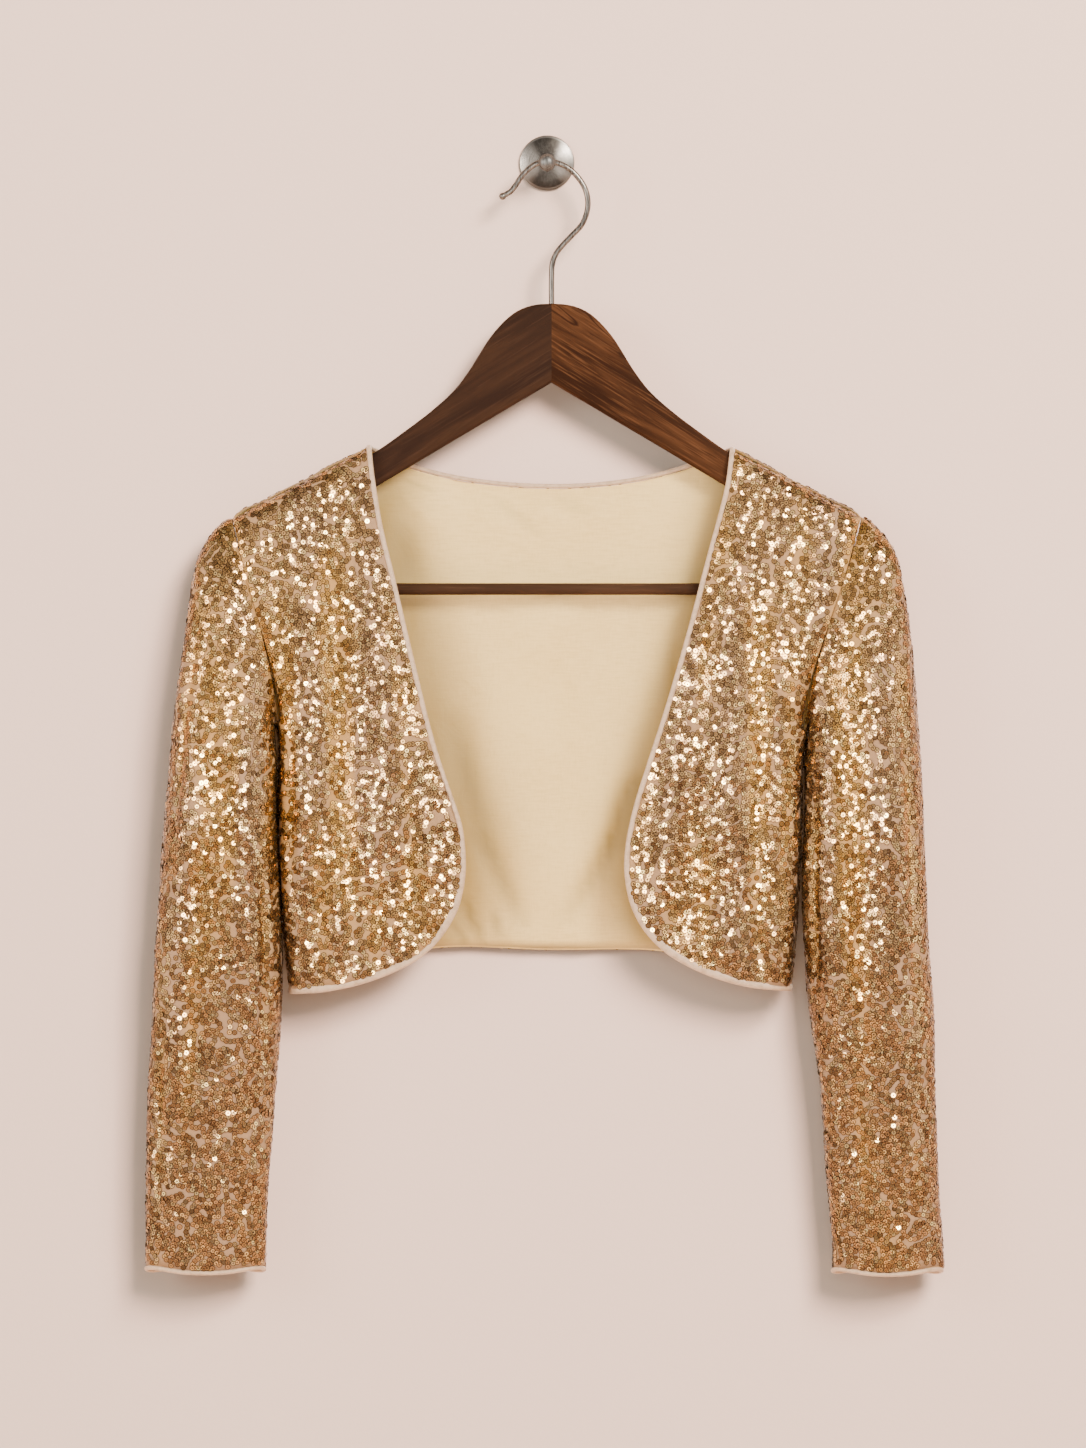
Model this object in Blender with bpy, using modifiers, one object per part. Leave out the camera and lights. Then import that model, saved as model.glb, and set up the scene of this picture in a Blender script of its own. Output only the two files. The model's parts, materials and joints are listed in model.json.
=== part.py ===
"""A cropped, open-front sequin jacket on a wooden hanger that hangs from a steel wall hook.

Metres, +Z up. The origin is the middle of the wall plate's back face: the wall is the plane
y = 0, the jacket hangs in front of it and faces -Y. Sides are the wearer's, so the wearer's
right is at -X. The tables are in millimetres.
"""

import math
from collections import namedtuple

import bmesh
import bpy
import numpy as np

MM = 0.001
WELD = 0.00001
SEAM_GAP = 0.3
CLOTH = 1.3
LINING = 1.0
BINDING_RADIUS = 1.6
NECK_TRIM = 2.5

# The hanger hangs in the plane y = HANGER_Y, and the shoulders lie over it
HANGER_Y = -26.0
HANGER_THICKNESS = 12.0
HANGER_X = 3.1
ARM_BEVEL = 2.5
BAR_Z = -296.0
BAR_RADIUS = 4.0
BAR_SOCKET = 6.0
WIRE_RADIUS = 1.75
WIRE_BORE_DEPTH = 14.0

# The plate on the wall and the peg that carries the wire
PLATE_RADIUS = 19.0
PLATE_FLAT_RADIUS = 11.0
PLATE_DEPTH = 5.0
PEG_RADIUS = 2.0
BALL_RADIUS = 6.0

# How the cloth is divided: rows down the armhole and the side seam, columns over each panel
ARMHOLE_ROWS = 12
SIDE_ROWS = 10
FRONT_COLUMNS = 15
SHOULDER_COLUMNS = 6
NECK_COLUMNS = 12
SLEEVE_RINGS = 23
RING_POINTS = 2 * ARMHOLE_ROWS
CURVE_STEPS = 16

# Rows, columns and rings lie closer where the cloth turns: a power over 1 bunches them
FRONT_COLUMN_POWER = 1.3
BACK_COLUMN_POWER = 1.8
SIDE_ROW_POWER = 1.15
SLEEVE_RING_POWER = 1.2
NECK_ROW_BUNCHING = 0.2
# A front's rows end this far round its bound edge, and its hem is the rest
HEM_TURN_SHARE = 0.70

# The lining starts this many rows below the neck edge, and ends this far down the last row
LINING_FIRST_ROW = 3
LINING_GAP = 0.7
LINING_HEM_SHARE = 0.85

# The cloth folds over the shoulder in an arch this high, and round the side seam this wide
SHOULDER_ARCH = 8.0
ARM_ARCH = 16.0
SIDE_TURN = 22.0
SHOULDER_Y = -26.0
ARMHOLE_Y = -28.0

# The back neck edge turns down behind the hanger's arms, then sinks a little further back
NECK_TURN = 9.0
NECK_BEHIND_ARM_Y = -15.5
NECK_HOLLOW = 2.5
NECK_HOLLOW_WIDTH = 90.0
NECK_ARCH = 12.0

# The armhole's front bows towards the body, and over these rings the sleeve loses that bow
BOW_RINGS = 5
BOW_PEAK = 1.3
CUFF_SQUARENESS = 2.4
FOLD_FULLNESS = 0.7
# The cuff's edge rises and dips in this many waves
CUFF_WAVES = 3
CUFF_WAVE = 1.6
CUFF_WAVE_RINGS = 4

Ring = namedtuple("Ring", "outer_x outer_z inner_x inner_z front_y back_y")
Point = namedtuple("Point", "x z")
Depth = namedtuple("Depth", "z side_y edge_y")
Fold = namedtuple("Fold", "top_x top_z bottom_x bottom_z half_width depth")
Crease = namedtuple("Crease", "turn first_ring last_ring half_width depth")
Side = namedtuple("Side", "name sign bow rings side_seam edge front_folds creases")

# Wearer's right, at -X: sleeve rings from the armhole to the cuff
RIGHT_RINGS = (
    Ring(-218.0, -246.3, -187.8, -390.3, -49, -7),
    Ring(-234.5, -263.0, -188.6, -393.5, -52, -6),
    Ring(-244.0, -293.0, -189.0, -397.5, -56, -5),
    Ring(-251.0, -340.0, -189.2, -404.0, -60, -5),
    Ring(-257.0, -389.5, -189.0, -418.0, -62, -5),
    Ring(-262.8, -450.0, -188.6, -455.0, -62, -5),
    Ring(-267.5, -508.0, -187.2, -508.0, -60, -6),
    Ring(-271.0, -565.0, -184.3, -565.0, -57, -7),
    Ring(-274.5, -645.0, -188.2, -645.0, -53, -8),
    Ring(-276.3, -725.0, -193.0, -725.0, -49, -9),
    Ring(-276.8, -763.0, -194.5, -763.0, -47, -10),
)
RIGHT_SIDE_SEAM = (
    Point(-187.8, -390.3),
    Point(-185.6, -399.0),
    Point(-185.0, -446.0),
    Point(-184.6, -480.0),
    Point(-181.5, -531.0),
    Point(-177.2, -571.5),
)
# The bound edge's outline, from the neck point down the front and round to the side seam
RIGHT_EDGE = (
    Point(-121.3, -197.8),
    Point(-118.7, -219.4),
    Point(-113.4, -251.6),
    Point(-104.7, -287.9),
    Point(-91.7, -343.1),
    Point(-77.5, -400.1),
    Point(-66.0, -435.5),
    Point(-58.5, -458.0),
    Point(-56.0, -480.2),
    Point(-58.0, -506.0),
    Point(-68.0, -529.0),
    Point(-86.0, -549.0),
    Point(-116.0, -564.0),
    Point(-148.0, -572.5),
    Point(-177.2, -575.0),
)
RIGHT_FRONT_FOLDS = (
    Fold(-138, -275, -137, -520, 13, 3.6),
    Fold(-166, -300, -170, -540, 11, -2.4),
    Fold(-118, -300, -112, -470, 12, -2.4),
    Fold(-90, -440, -98, -545, 12, 2.2),
    Fold(-160, -430, -154, -560, 9, 2.0),
)
RIGHT_CREASES = (
    Crease(0.23, 2, 15, 0.035, 2.6),
    Crease(0.33, 4, 19, 0.04, -1.8),
    Crease(0.16, 6, 20, 0.035, -1.6),
    Crease(0.72, 3, 18, 0.05, 2.0),
)

# Wearer's left, at +X
LEFT_RINGS = (
    Ring(217.8, -245.3, 180.3, -396.7, -49, -7),
    Ring(236.3, -262.5, 180.6, -400.0, -52, -6),
    Ring(245.3, -292.0, 180.6, -404.0, -56, -5),
    Ring(251.0, -335.0, 180.4, -411.0, -60, -5),
    Ring(254.8, -385.0, 180.0, -423.0, -62, -5),
    Ring(258.6, -450.0, 179.4, -457.0, -62, -5),
    Ring(261.8, -518.0, 178.9, -518.0, -60, -6),
    Ring(264.2, -570.0, 181.5, -570.0, -57, -7),
    Ring(267.0, -645.0, 188.2, -645.0, -53, -8),
    Ring(271.2, -732.0, 195.4, -732.0, -49, -9),
    Ring(272.6, -764.0, 196.6, -764.0, -47, -10),
)
LEFT_SIDE_SEAM = (
    Point(180.3, -396.7),
    Point(177.6, -405.0),
    Point(175.6, -430.0),
    Point(175.2, -460.0),
    Point(172.6, -512.0),
    Point(168.3, -569.5),
)
LEFT_EDGE = (
    Point(126.3, -199.2),
    Point(122.3, -226.9),
    Point(117.2, -247.2),
    Point(109.2, -276.3),
    Point(95.4, -328.5),
    Point(81.0, -378.0),
    Point(69.7, -413.0),
    Point(60.0, -444.0),
    Point(54.0, -472.0),
    Point(54.0, -500.0),
    Point(63.0, -525.5),
    Point(80.0, -545.0),
    Point(106.0, -560.0),
    Point(136.0, -569.5),
    Point(168.3, -573.0),
)
LEFT_FRONT_FOLDS = (
    Fold(150, -285, 146, -520, 13, 3.4),
    Fold(128, -290, 122, -500, 12, -2.4),
    Fold(172, -330, 168, -540, 9, -2.0),
    Fold(100, -430, 92, -540, 12, 2.2),
    Fold(118, -500, 128, -565, 10, -1.6),
)
LEFT_CREASES = (
    Crease(0.27, 3, 17, 0.035, 2.8),
    Crease(0.36, 4, 16, 0.035, -1.8),
    Crease(0.18, 5, 20, 0.035, -1.8),
    Crease(0.70, 3, 18, 0.05, 2.0),
)

# Depths of the two fronts and of the back, at the side seam and at the open edge or middle
FRONT_DEPTHS = (
    Depth(-198, -38, -36.5),
    Depth(-250, -43, -40.0),
    Depth(-320, -49, -44.5),
    Depth(-400, -52, -48.0),
    Depth(-480, -51, -49.0),
    Depth(-575, -47, -46.5),
)
BACK_DEPTHS = (
    Depth(-198, -15.5, -13.5),
    Depth(-260, -11.0, -12.0),
    Depth(-330, -7.0, -9.5),
    Depth(-400, -6.5, -8.0),
    Depth(-575, -6.5, -7.5),
)
BACK_FOLDS = (
    Fold(-95, -300, -88, -535, 14, -1.6),
    Fold(20, -330, 26, -520, 16, -1.5),
    Fold(92, -290, 84, -535, 14, -1.8),
)
# The back's neck edge and its hem, from the wearer's right to the left
BACK_NECK = (
    Point(-124.4, -199.4),
    Point(-96.6, -211.8),
    Point(-51.9, -222.5),
    Point(0.4, -226.4),
    Point(35.2, -225.3),
    Point(66.9, -220.9),
    Point(97.0, -212.9),
    Point(129.4, -200.7),
)
BACK_HEM = (
    Point(-177.2, -571.5),
    Point(-140.0, -557.0),
    Point(-75.0, -544.0),
    Point(0.0, -545.5),
    Point(75.0, -546.0),
    Point(135.0, -556.0),
    Point(168.3, -569.5),
)

# The hanger's arm, as distance from its middle and height
ARM_TOP = (
    Point(0.15, -99.2),
    Point(10.0, -99.8),
    Point(19.5, -102.3),
    Point(28.0, -107.2),
    Point(41.0, -120.7),
    Point(57.0, -145.7),
    Point(66.7, -158.5),
    Point(80.6, -171.4),
    Point(100.4, -186.6),
    Point(126.0, -204.2),
    Point(190.0, -236.6),
)
ARM_TIP = (
    Point(190.0, -236.6),
    Point(202.0, -245.0),
    Point(207.0, -258.0),
    Point(208.0, -276.0),
    Point(207.0, -300.0),
    Point(202.0, -306.0),
    Point(193.0, -306.0),
    Point(188.0, -300.0),
)
ARM_CROOK = (
    Point(188.0, -284.0),
    Point(186.0, -270.0),
    Point(176.0, -257.5),
)
ARM_UNDERSIDE = (
    Point(121.2, -225.5),
    Point(0.15, -153.5),
)
# The hook's wire, from inside the hanger over the peg to its free end
WIRE = (
    Point(3.1, -111.0),
    Point(3.1, -99.0),
    Point(3.1, -82.0),
    Point(3.6, -72.0),
    Point(6.2, -64.6),
    Point(11.2, -58.2),
    Point(18.4, -51.3),
    Point(24.9, -44.0),
    Point(27.8, -35.7),
    Point(28.2, -28.2),
    Point(25.9, -19.0),
    Point(20.3, -10.7),
    Point(13.8, -5.0),
    Point(6.9, -2.0),
    Point(0.0, -1.0),
    Point(-6.5, -2.2),
    Point(-12.1, -5.6),
    Point(-17.6, -11.2),
    Point(-21.7, -17.4),
    Point(-25.5, -22.2),
    Point(-30.1, -25.0),
)
# Half of the plate's section, x and y, from the middle of its face to the middle of its back
PLATE_PROFILE = (
    (0.0, -PLATE_DEPTH),
    (PLATE_FLAT_RADIUS, -PLATE_DEPTH),
    (PLATE_RADIUS - 1.0, -2.6),
    (PLATE_RADIUS, -1.8),
    (PLATE_RADIUS, 0.0),
    (0.0, 0.0),
)
# The peg's middle line, y and z: out of the plate, under the wire and up into the ball
PEG_NECK = ((-5.3, -6.4), (-12.0, -6.6), (-19.0, -6.2), (-26.0, -5.3), (-28.5, -4.6))
BALL_Y = -34.6
BALL_Z = -2.3
BEAD_RADIUS = 2.5
BEAD_NECK = 0.1
WIRE_POINTS = 56

ROUND = 2.0
FRONT = np.array([0.0, -1.0, 0.0])

# Colour, roughness, metallic
SEQUIN_CLOTH = (0.62, 0.40, 0.22), 0.38, 0.55
SATIN_LINING = (0.78, 0.70, 0.47), 0.45, 0.0
SATIN_BINDING = (0.72, 0.58, 0.47), 0.45, 0.0
DARK_WALNUT = (0.075, 0.028, 0.014), 0.40, 0.0
BRUSHED_STEEL = (0.55, 0.52, 0.49), 0.30, 1.0


def clear_scene():
    for obj in list(bpy.data.objects):
        bpy.data.objects.remove(obj, do_unlink=True)


def make_collection(name):
    collection = bpy.data.collections.new(name)
    bpy.context.scene.collection.children.link(collection)
    return collection


def make_material(name, finish):
    colour, roughness, metallic = finish
    material = bpy.data.materials.new(name)
    material.use_nodes = True
    shader = material.node_tree.nodes["Principled BSDF"]
    shader.inputs["Base Color"].default_value = (*colour, 1.0)
    shader.inputs["Roughness"].default_value = roughness
    shader.inputs["Metallic"].default_value = metallic
    return material


def unit(vectors):
    return vectors / np.linalg.norm(vectors, axis=-1, keepdims=True)


def lengths_along(points, power=1.0):
    """Distance of each point from the first, along the polyline."""
    steps = np.linalg.norm(np.diff(points, axis=0), axis=1) ** power
    return np.concatenate([[0.0], np.cumsum(steps)])


def between(start, end, start_knot, end_knot, at):
    """Blends two points, or two rows of points, by where each value lies between the knots."""
    share = (at - start_knot) / (end_knot - start_knot)
    return start * (1 - share) + end * share


def smooth_line(rows):
    """A fine polyline on the centripetal Catmull-Rom curve through the rows."""
    rows = np.array(rows, float)
    ends = np.vstack([2 * rows[0] - rows[1], rows, 2 * rows[-1] - rows[-2]])
    knots = lengths_along(ends, power=0.5)
    pieces = []
    for i in range(1, len(ends) - 2):
        at = np.linspace(knots[i], knots[i + 1], CURVE_STEPS, endpoint=False)[:, None]
        lines = [between(ends[k], ends[k + 1], knots[k], knots[k + 1], at) for k in (i - 1, i, i + 1)]
        first_bend = between(lines[0], lines[1], knots[i - 1], knots[i + 1], at)
        second_bend = between(lines[1], lines[2], knots[i], knots[i + 2], at)
        pieces.append(between(first_bend, second_bend, knots[i], knots[i + 1], at))
    return np.vstack(pieces + [rows[-1:]])


def at_shares(line, shares):
    """Points of a polyline at these shares of its length."""
    along = lengths_along(line)
    wanted = np.asarray(shares) * along[-1]
    return np.stack([np.interp(wanted, along, line[:, k]) for k in range(line.shape[1])], axis=-1)


def moved_in(line, distance, sign):
    """A flat outline moved into the cloth that it bounds, which lies outward of the front edge."""
    along = unit(np.gradient(line, axis=0))
    inward = np.stack([-along[:, 1], along[:, 0]], axis=-1) * sign
    return line + inward * distance


def rounded(distance, radius):
    """From 0 at an edge to 1 past the radius, as a quarter of an ellipse."""
    near = np.clip(distance / radius, 0.0, 1.0)
    return np.sqrt(1.0 - (1.0 - near) ** 2)


def fold_relief(folds, x, z):
    """How far the folds move the cloth along +Y: troughs go in, ridges come out."""
    relief = np.zeros_like(x)
    for fold in folds:
        down = np.clip((z - fold.top_z) / (fold.bottom_z - fold.top_z), 0.0, 1.0)
        middle = fold.top_x + (fold.bottom_x - fold.top_x) * down
        across = np.exp(-(((x - middle) / fold.half_width) ** 2))
        relief += fold.depth * across * np.sin(math.pi * down) ** FOLD_FULLNESS
    return relief


def ring_frame(ring):
    """Middle, half chord, half depth, and the unit vectors to the outer end and to the body."""
    outer_x, outer_z, inner_x, inner_z, front_y, back_y = ring
    middle_y = (front_y + back_y) / 2
    outer = np.array([outer_x, middle_y, outer_z])
    inner = np.array([inner_x, middle_y, inner_z])
    half_chord = np.linalg.norm(outer - inner) / 2
    outward = unit(outer - inner)
    to_body = np.array([outward[2], 0.0, -outward[0]]) * -np.sign(outer_x)
    return (outer + inner) / 2, half_chord, (back_y - front_y) / 2, outward, to_body


def ring_points(ring, angles, bow, squareness):
    """Points round a sleeve ring. Angle 0 is its outer end, a quarter turn its front."""
    middle, half_chord, half_depth, outward, to_body = ring_frame(ring)
    cosines = np.sign(np.cos(angles)) * np.abs(np.cos(angles)) ** (2 / squareness)
    sines = np.sign(np.sin(angles)) * np.abs(np.sin(angles)) ** (2 / squareness)
    bowed = bow * np.maximum(np.sin(angles), 0.0) * (1 - np.cos(angles)) / BOW_PEAK
    return (
        middle
        + half_chord * cosines[:, None] * outward
        + half_depth * sines[:, None] * FRONT
        + bowed[:, None] * to_body
    )


def armhole_seam(side, angles):
    """Points of the armhole seam, the cloth's outward direction there, and the way to the body."""
    ring = side.rings[0]
    _, half_chord, half_depth, outward, to_body = ring_frame(ring)
    normals = unit(
        np.cos(angles)[:, None] * outward / half_chord + np.sin(angles)[:, None] * FRONT / half_depth
    )
    return ring_points(ring, angles, side.bow, ROUND), normals, to_body


def side_edge(side, facing):
    """The armhole and side seam as one panel's edge, with its outward directions.

    facing is -1 for a front and +1 for the back.
    """
    angles = np.linspace(0.0, math.pi, ARMHOLE_ROWS + 1) * -facing
    armhole, normals, to_body = armhole_seam(side, angles)
    armhole += to_body * SEAM_GAP / 2
    shares = np.linspace(0, 1, SIDE_ROWS + 1)[1:] ** SIDE_ROW_POWER
    seam = at_shares(smooth_line(side.side_seam), shares)
    edge = np.vstack([armhole, np.insert(seam, 1, ARMHOLE_Y, axis=1)])
    edge[:, 1] += facing * SEAM_GAP / 2
    outward = np.tile([side.sign, 0.0, 0.0], (SIDE_ROWS, 1))
    return edge, np.vstack([normals, outward])


def shoulder_edge(side, facing, neck_point, shares):
    """The shoulder seam from the neck point out to the armhole, with its outward directions."""
    top, normals, to_body = armhole_seam(side, np.zeros(1))
    neck = np.array([neck_point[0], SHOULDER_Y, neck_point[1]])
    end = top[0] + to_body * SEAM_GAP / 2
    shares = shares[:, None]
    points = neck + (end - neck) * shares
    points[:, 1] += facing * SEAM_GAP / 2
    along = unit(end - neck)
    upright = np.array([along[2], 0.0, -along[0]]) * -side.sign
    return points, unit(upright * (1 - shares) + normals[0] * shares)


def coons(left, right, top, bottom, u, v):
    """Blends four edge lines into a grid of points, rows down and columns across."""
    u = u[None, :, None]
    v = v[:, None, None]
    across = (1 - u) * left[:, None] + u * right[:, None]
    down = (1 - v) * top[None] + v * bottom[None]
    corners = (
        (1 - u) * (1 - v) * top[0]
        + u * (1 - v) * top[-1]
        + (1 - u) * v * bottom[0]
        + u * v * bottom[-1]
    )
    return across + down - corners


def distances(grid, axis):
    """Distance of each grid point from the first of its row or column, seen from the front."""
    steps = np.linalg.norm(np.diff(grid[..., [0, 2]], axis=axis), axis=-1)
    start = np.zeros_like(np.take(steps, [0], axis=axis))
    return np.concatenate([start, np.cumsum(steps, axis=axis)], axis=axis)


def depth_at(depths, z, share):
    """The panel's y at a height, from its side (share 0) to its edge (share 1)."""
    table = np.array(depths)[::-1]
    side_y = np.interp(z, table[:, 0], table[:, 1])
    edge_y = np.interp(z, table[:, 0], table[:, 2])
    return side_y + (edge_y - side_y) * share


def grid_normals(grid):
    """Unit normals of a grid, towards the side from which its columns run left to right."""
    rows = np.gradient(grid, axis=0)
    columns = np.gradient(grid, axis=1)
    return unit(np.cross(rows, columns))


def front_grid(side):
    """One front's outer points and normals: rows go down, columns from the side to the edge."""
    panel_edge = moved_in(smooth_line(side.edge), 2 * BINDING_RADIUS + SEAM_GAP, side.sign)
    rows = ARMHOLE_ROWS + SIDE_ROWS
    u = np.linspace(0.0, 1.0, FRONT_COLUMNS + 1) ** FRONT_COLUMN_POWER
    left, left_normals = side_edge(side, -1)
    row_shares = np.hypot(np.arange(rows + 1) / rows, NECK_ROW_BUNCHING) - NECK_ROW_BUNCHING
    row_shares /= row_shares[-1]
    right = np.insert(at_shares(panel_edge, row_shares * HEM_TURN_SHARE), 1, 0.0, axis=1)
    bottom = np.insert(at_shares(panel_edge, 1 - (1 - HEM_TURN_SHARE) * u), 1, 0.0, axis=1)
    top, top_normals = shoulder_edge(side, -1, right[0, [0, 2]], 1 - u)
    left[-1, [0, 2]] = bottom[0, [0, 2]]
    down_left = lengths_along(left[:, [0, 2]])
    v = (down_left / down_left[-1] + row_shares) / 2
    grid = coons(left, right, top, bottom, u, v)
    share = np.tile(u, (rows + 1, 1))
    y = depth_at(FRONT_DEPTHS, grid[..., 2], share)
    y += fold_relief(side.front_folds, grid[..., 0], grid[..., 2])
    arch = ARM_ARCH + (SHOULDER_ARCH - ARM_ARCH) * share
    grid[..., 1] = edged(y, distances(grid, 0), distances(grid, 1), arch, top[:, 1], left[:, 1])
    normals = grid_normals(grid) * -side.sign
    normals[:, 0] = left_normals
    normals[0] = top_normals
    return grid, normals


def edged(y, drop, inset, arch, top_y, left_y):
    """Bends a sheet's depths to its shoulder and side edges, each over a rounded turn."""
    by_top = 1.0 - rounded(drop, arch)
    by_left = 1.0 - rounded(inset, SIDE_TURN)
    to_top = top_y[None, :] - y
    to_left = left_y[:, None] - y
    to_corner = top_y[0] - y
    return y + by_top * to_top + by_left * to_left - by_top * by_left * to_corner


def back_neck(right_end, left_end):
    """The back's neck edge between the shoulder seams, down behind the hanger's arms."""
    shares = 0.5 - 0.5 * np.cos(np.linspace(0.0, math.pi, NECK_COLUMNS + 1)[1:-1])
    neck = np.insert(at_shares(smooth_line(BACK_NECK), shares), 1, 0.0, axis=1)
    from_end = np.minimum(neck[:, 0] - right_end[0], left_end[0] - neck[:, 0])
    over_arm = (NECK_BEHIND_ARM_Y - SHOULDER_Y) * rounded(from_end, NECK_TURN)
    neck[:, 1] = SHOULDER_Y + over_arm + NECK_HOLLOW * rounded(from_end, NECK_HOLLOW_WIDTH)
    return neck


def back_grid(right, left, neck_right, neck_left):
    """The back's outer points and normals: columns run from the wearer's right to the left."""
    rows = ARMHOLE_ROWS + SIDE_ROWS
    first, first_normals = side_edge(right, 1)
    last, last_normals = side_edge(left, 1)
    outward = 1 - np.linspace(1.0, 0.0, SHOULDER_COLUMNS + 1) ** BACK_COLUMN_POWER
    shoulder_right, up_right = shoulder_edge(right, 1, neck_right, outward)
    shoulder_left, up_left = shoulder_edge(left, 1, neck_left, outward)
    top = np.vstack([shoulder_right[::-1], back_neck(neck_right, neck_left), shoulder_left])
    u = lengths_along(top[:, [0, 2]])
    u = u / u[-1]
    bottom = np.insert(at_shares(smooth_line(BACK_HEM), u), 1, 0.0, axis=1)
    down_first = lengths_along(first[:, [0, 2]])
    down_last = lengths_along(last[:, [0, 2]])
    v = (down_first / down_first[-1] + down_last / down_last[-1]) / 2
    grid = coons(first, last, top, bottom, u, v)
    middle_share = 1.0 - np.abs(2 * np.tile(u, (rows + 1, 1)) - 1.0)
    y = depth_at(BACK_DEPTHS, grid[..., 2], middle_share)
    y += fold_relief(BACK_FOLDS, grid[..., 0], grid[..., 2])
    arch = np.full(grid.shape[:2], SHOULDER_ARCH)
    arch[:, SHOULDER_COLUMNS + 1 : -SHOULDER_COLUMNS - 1] = NECK_ARCH
    drop = distances(grid, 0)
    inset = distances(grid, 1)
    from_last = inset[:, -1:] - inset[:, ::-1]
    right_half = edged(y, drop, inset, arch, top[:, 1], first[:, 1])
    left_half = edged(y[:, ::-1], drop[:, ::-1], from_last, arch[:, ::-1], top[::-1, 1], last[:, 1])
    is_right = np.arange(len(u)) < len(u) // 2
    grid[..., 1] = np.where(is_right, right_half, left_half[:, ::-1])
    normals = -grid_normals(grid)
    normals[:, 0] = first_normals
    normals[:, -1] = last_normals
    normals[0, : SHOULDER_COLUMNS + 1] = up_right[::-1]
    normals[0, -SHOULDER_COLUMNS - 1 :] = up_left
    return grid, normals


def sleeve_grid(side):
    """A sleeve's outer points and normals: rows are rings from the armhole to the cuff."""
    rows = np.arange(SLEEVE_RINGS + 1)
    angles = np.linspace(0.0, 2 * math.pi, RING_POINTS + 1)[:-1]
    rings = at_shares(smooth_line(side.rings), (rows / SLEEVE_RINGS) ** SLEEVE_RING_POWER)
    bow = np.clip(1.0 - rows / BOW_RINGS, 0.0, 1.0)
    squareness = ROUND + (CUFF_SQUARENESS - ROUND) * (1.0 - bow)
    grid = np.stack(
        [ring_points(ring, angles, side.bow * b, s) for ring, b, s in zip(rings, bow, squareness)]
    )
    _, seam_normals, to_body = armhole_seam(side, angles)
    grid[0] -= to_body * SEAM_GAP / 2
    near_cuff = np.clip(1.0 - (SLEEVE_RINGS - rows) / CUFF_WAVE_RINGS, 0.0, 1.0)
    grid[..., 2] += CUFF_WAVE * near_cuff[:, None] * np.sin(CUFF_WAVES * angles)[None, :]
    relief = crease_relief(side.creases, rows, angles / (2 * math.pi))
    grid = grid - tube_normals(grid, side.sign) * relief[..., None]
    normals = tube_normals(grid, side.sign)
    normals[0] = seam_normals
    return grid, normals


def crease_relief(creases, rows, turns):
    """How far the creases move each ring's points inwards: ridges have a depth below zero."""
    relief = np.zeros((len(rows), len(turns)))
    for crease in creases:
        along = (rows - crease.first_ring) / (crease.last_ring - crease.first_ring)
        swell = np.sin(math.pi * np.clip(along, 0.0, 1.0)) ** FOLD_FULLNESS
        across = np.exp(-(((turns - crease.turn) / crease.half_width) ** 2))
        relief += crease.depth * swell[:, None] * across[None, :]
    return relief


def tube_normals(grid, sign):
    """Outward unit normals of rings of points."""
    around = np.roll(grid, -1, axis=1) - np.roll(grid, 1, axis=1)
    along = np.gradient(grid, axis=0)
    return unit(np.cross(around, along)) * sign


def cloth_wall(name, outer, normals, thickness, is_tube, material, collection):
    """A closed wall of even thickness between a grid of points and the same moved inwards.

    A tube joins its last column to its first, and a panel has side faces there.
    """
    mesh = bmesh.new()
    layers = []
    for grid in (outer, outer - normals * thickness):
        layers.append([[mesh.verts.new(tuple(point * MM)) for point in row] for row in grid])
    outside, inside = layers
    columns = len(outside[0])
    across = [(k, (k + 1) % columns) for k in range(columns if is_tube else columns - 1)]
    for layer in layers:
        for upper, lower in zip(layer, layer[1:]):
            for k, after in across:
                mesh.faces.new((upper[k], lower[k], lower[after], upper[after]))
    for end in (0, -1):
        for k, after in across:
            mesh.faces.new((outside[end][k], outside[end][after], inside[end][after], inside[end][k]))
    for end in () if is_tube else (0, -1):
        for row in range(len(outside) - 1):
            upper = (outside[row][end], inside[row][end])
            mesh.faces.new((*upper, inside[row + 1][end], outside[row + 1][end]))
    bmesh.ops.recalc_face_normals(mesh, faces=mesh.faces)
    return add_object(name, mesh, material, collection, smooth_angle=50)


def add_object(name, mesh, material, collection, smooth_angle=None):
    """Puts a bmesh into a new object, shaded smooth up to this angle. A cutter has no material."""
    data = bpy.data.meshes.new(name)
    mesh.to_mesh(data)
    mesh.free()
    if material is not None:
        data.materials.append(material)
    if smooth_angle is not None:
        data.shade_smooth()
        data.set_sharp_from_angle(angle=math.radians(smooth_angle))
    obj = bpy.data.objects.new(name, data)
    collection.objects.link(obj)
    return obj


def add_tube(name, points, radius, material, collection, closed=False, radii=None):
    """A round tube along points in millimetres, as a curve with a bevel and filled caps."""
    curve = bpy.data.curves.new(name, "CURVE")
    curve.dimensions = "3D"
    curve.bevel_depth = radius * MM
    curve.bevel_resolution = 2
    curve.use_fill_caps = not closed
    spline = curve.splines.new("POLY")
    spline.points.add(len(points) - 1)
    for k, point in enumerate(points):
        spline.points[k].co = (*(np.asarray(point) * MM), 1.0)
        spline.points[k].radius = 1.0 if radii is None else radii[k] / radius
    spline.use_cyclic_u = closed
    spline.use_smooth = True
    curve.materials.append(material)
    obj = bpy.data.objects.new(name, curve)
    collection.objects.link(obj)
    return obj


def binding_line(edge, next_in, normals):
    """The middle of a round binding that caps a panel's edge, from the panel's own points."""
    steps = unit(np.diff(edge, axis=0))
    turned = np.vstack([steps[:1], steps]) + np.vstack([steps, steps[-1:]])
    mitre = 2.0 / np.linalg.norm(turned, axis=1, keepdims=True)
    along = unit(turned)
    outward = edge - next_in
    outward = unit(outward - along * np.sum(outward * along, axis=1, keepdims=True))
    outward = unit(outward - normals * np.sum(outward * normals, axis=1, keepdims=True))
    return edge - normals * CLOTH / 2 + outward * mitre * (SEAM_GAP + BINDING_RADIUS)


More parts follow.
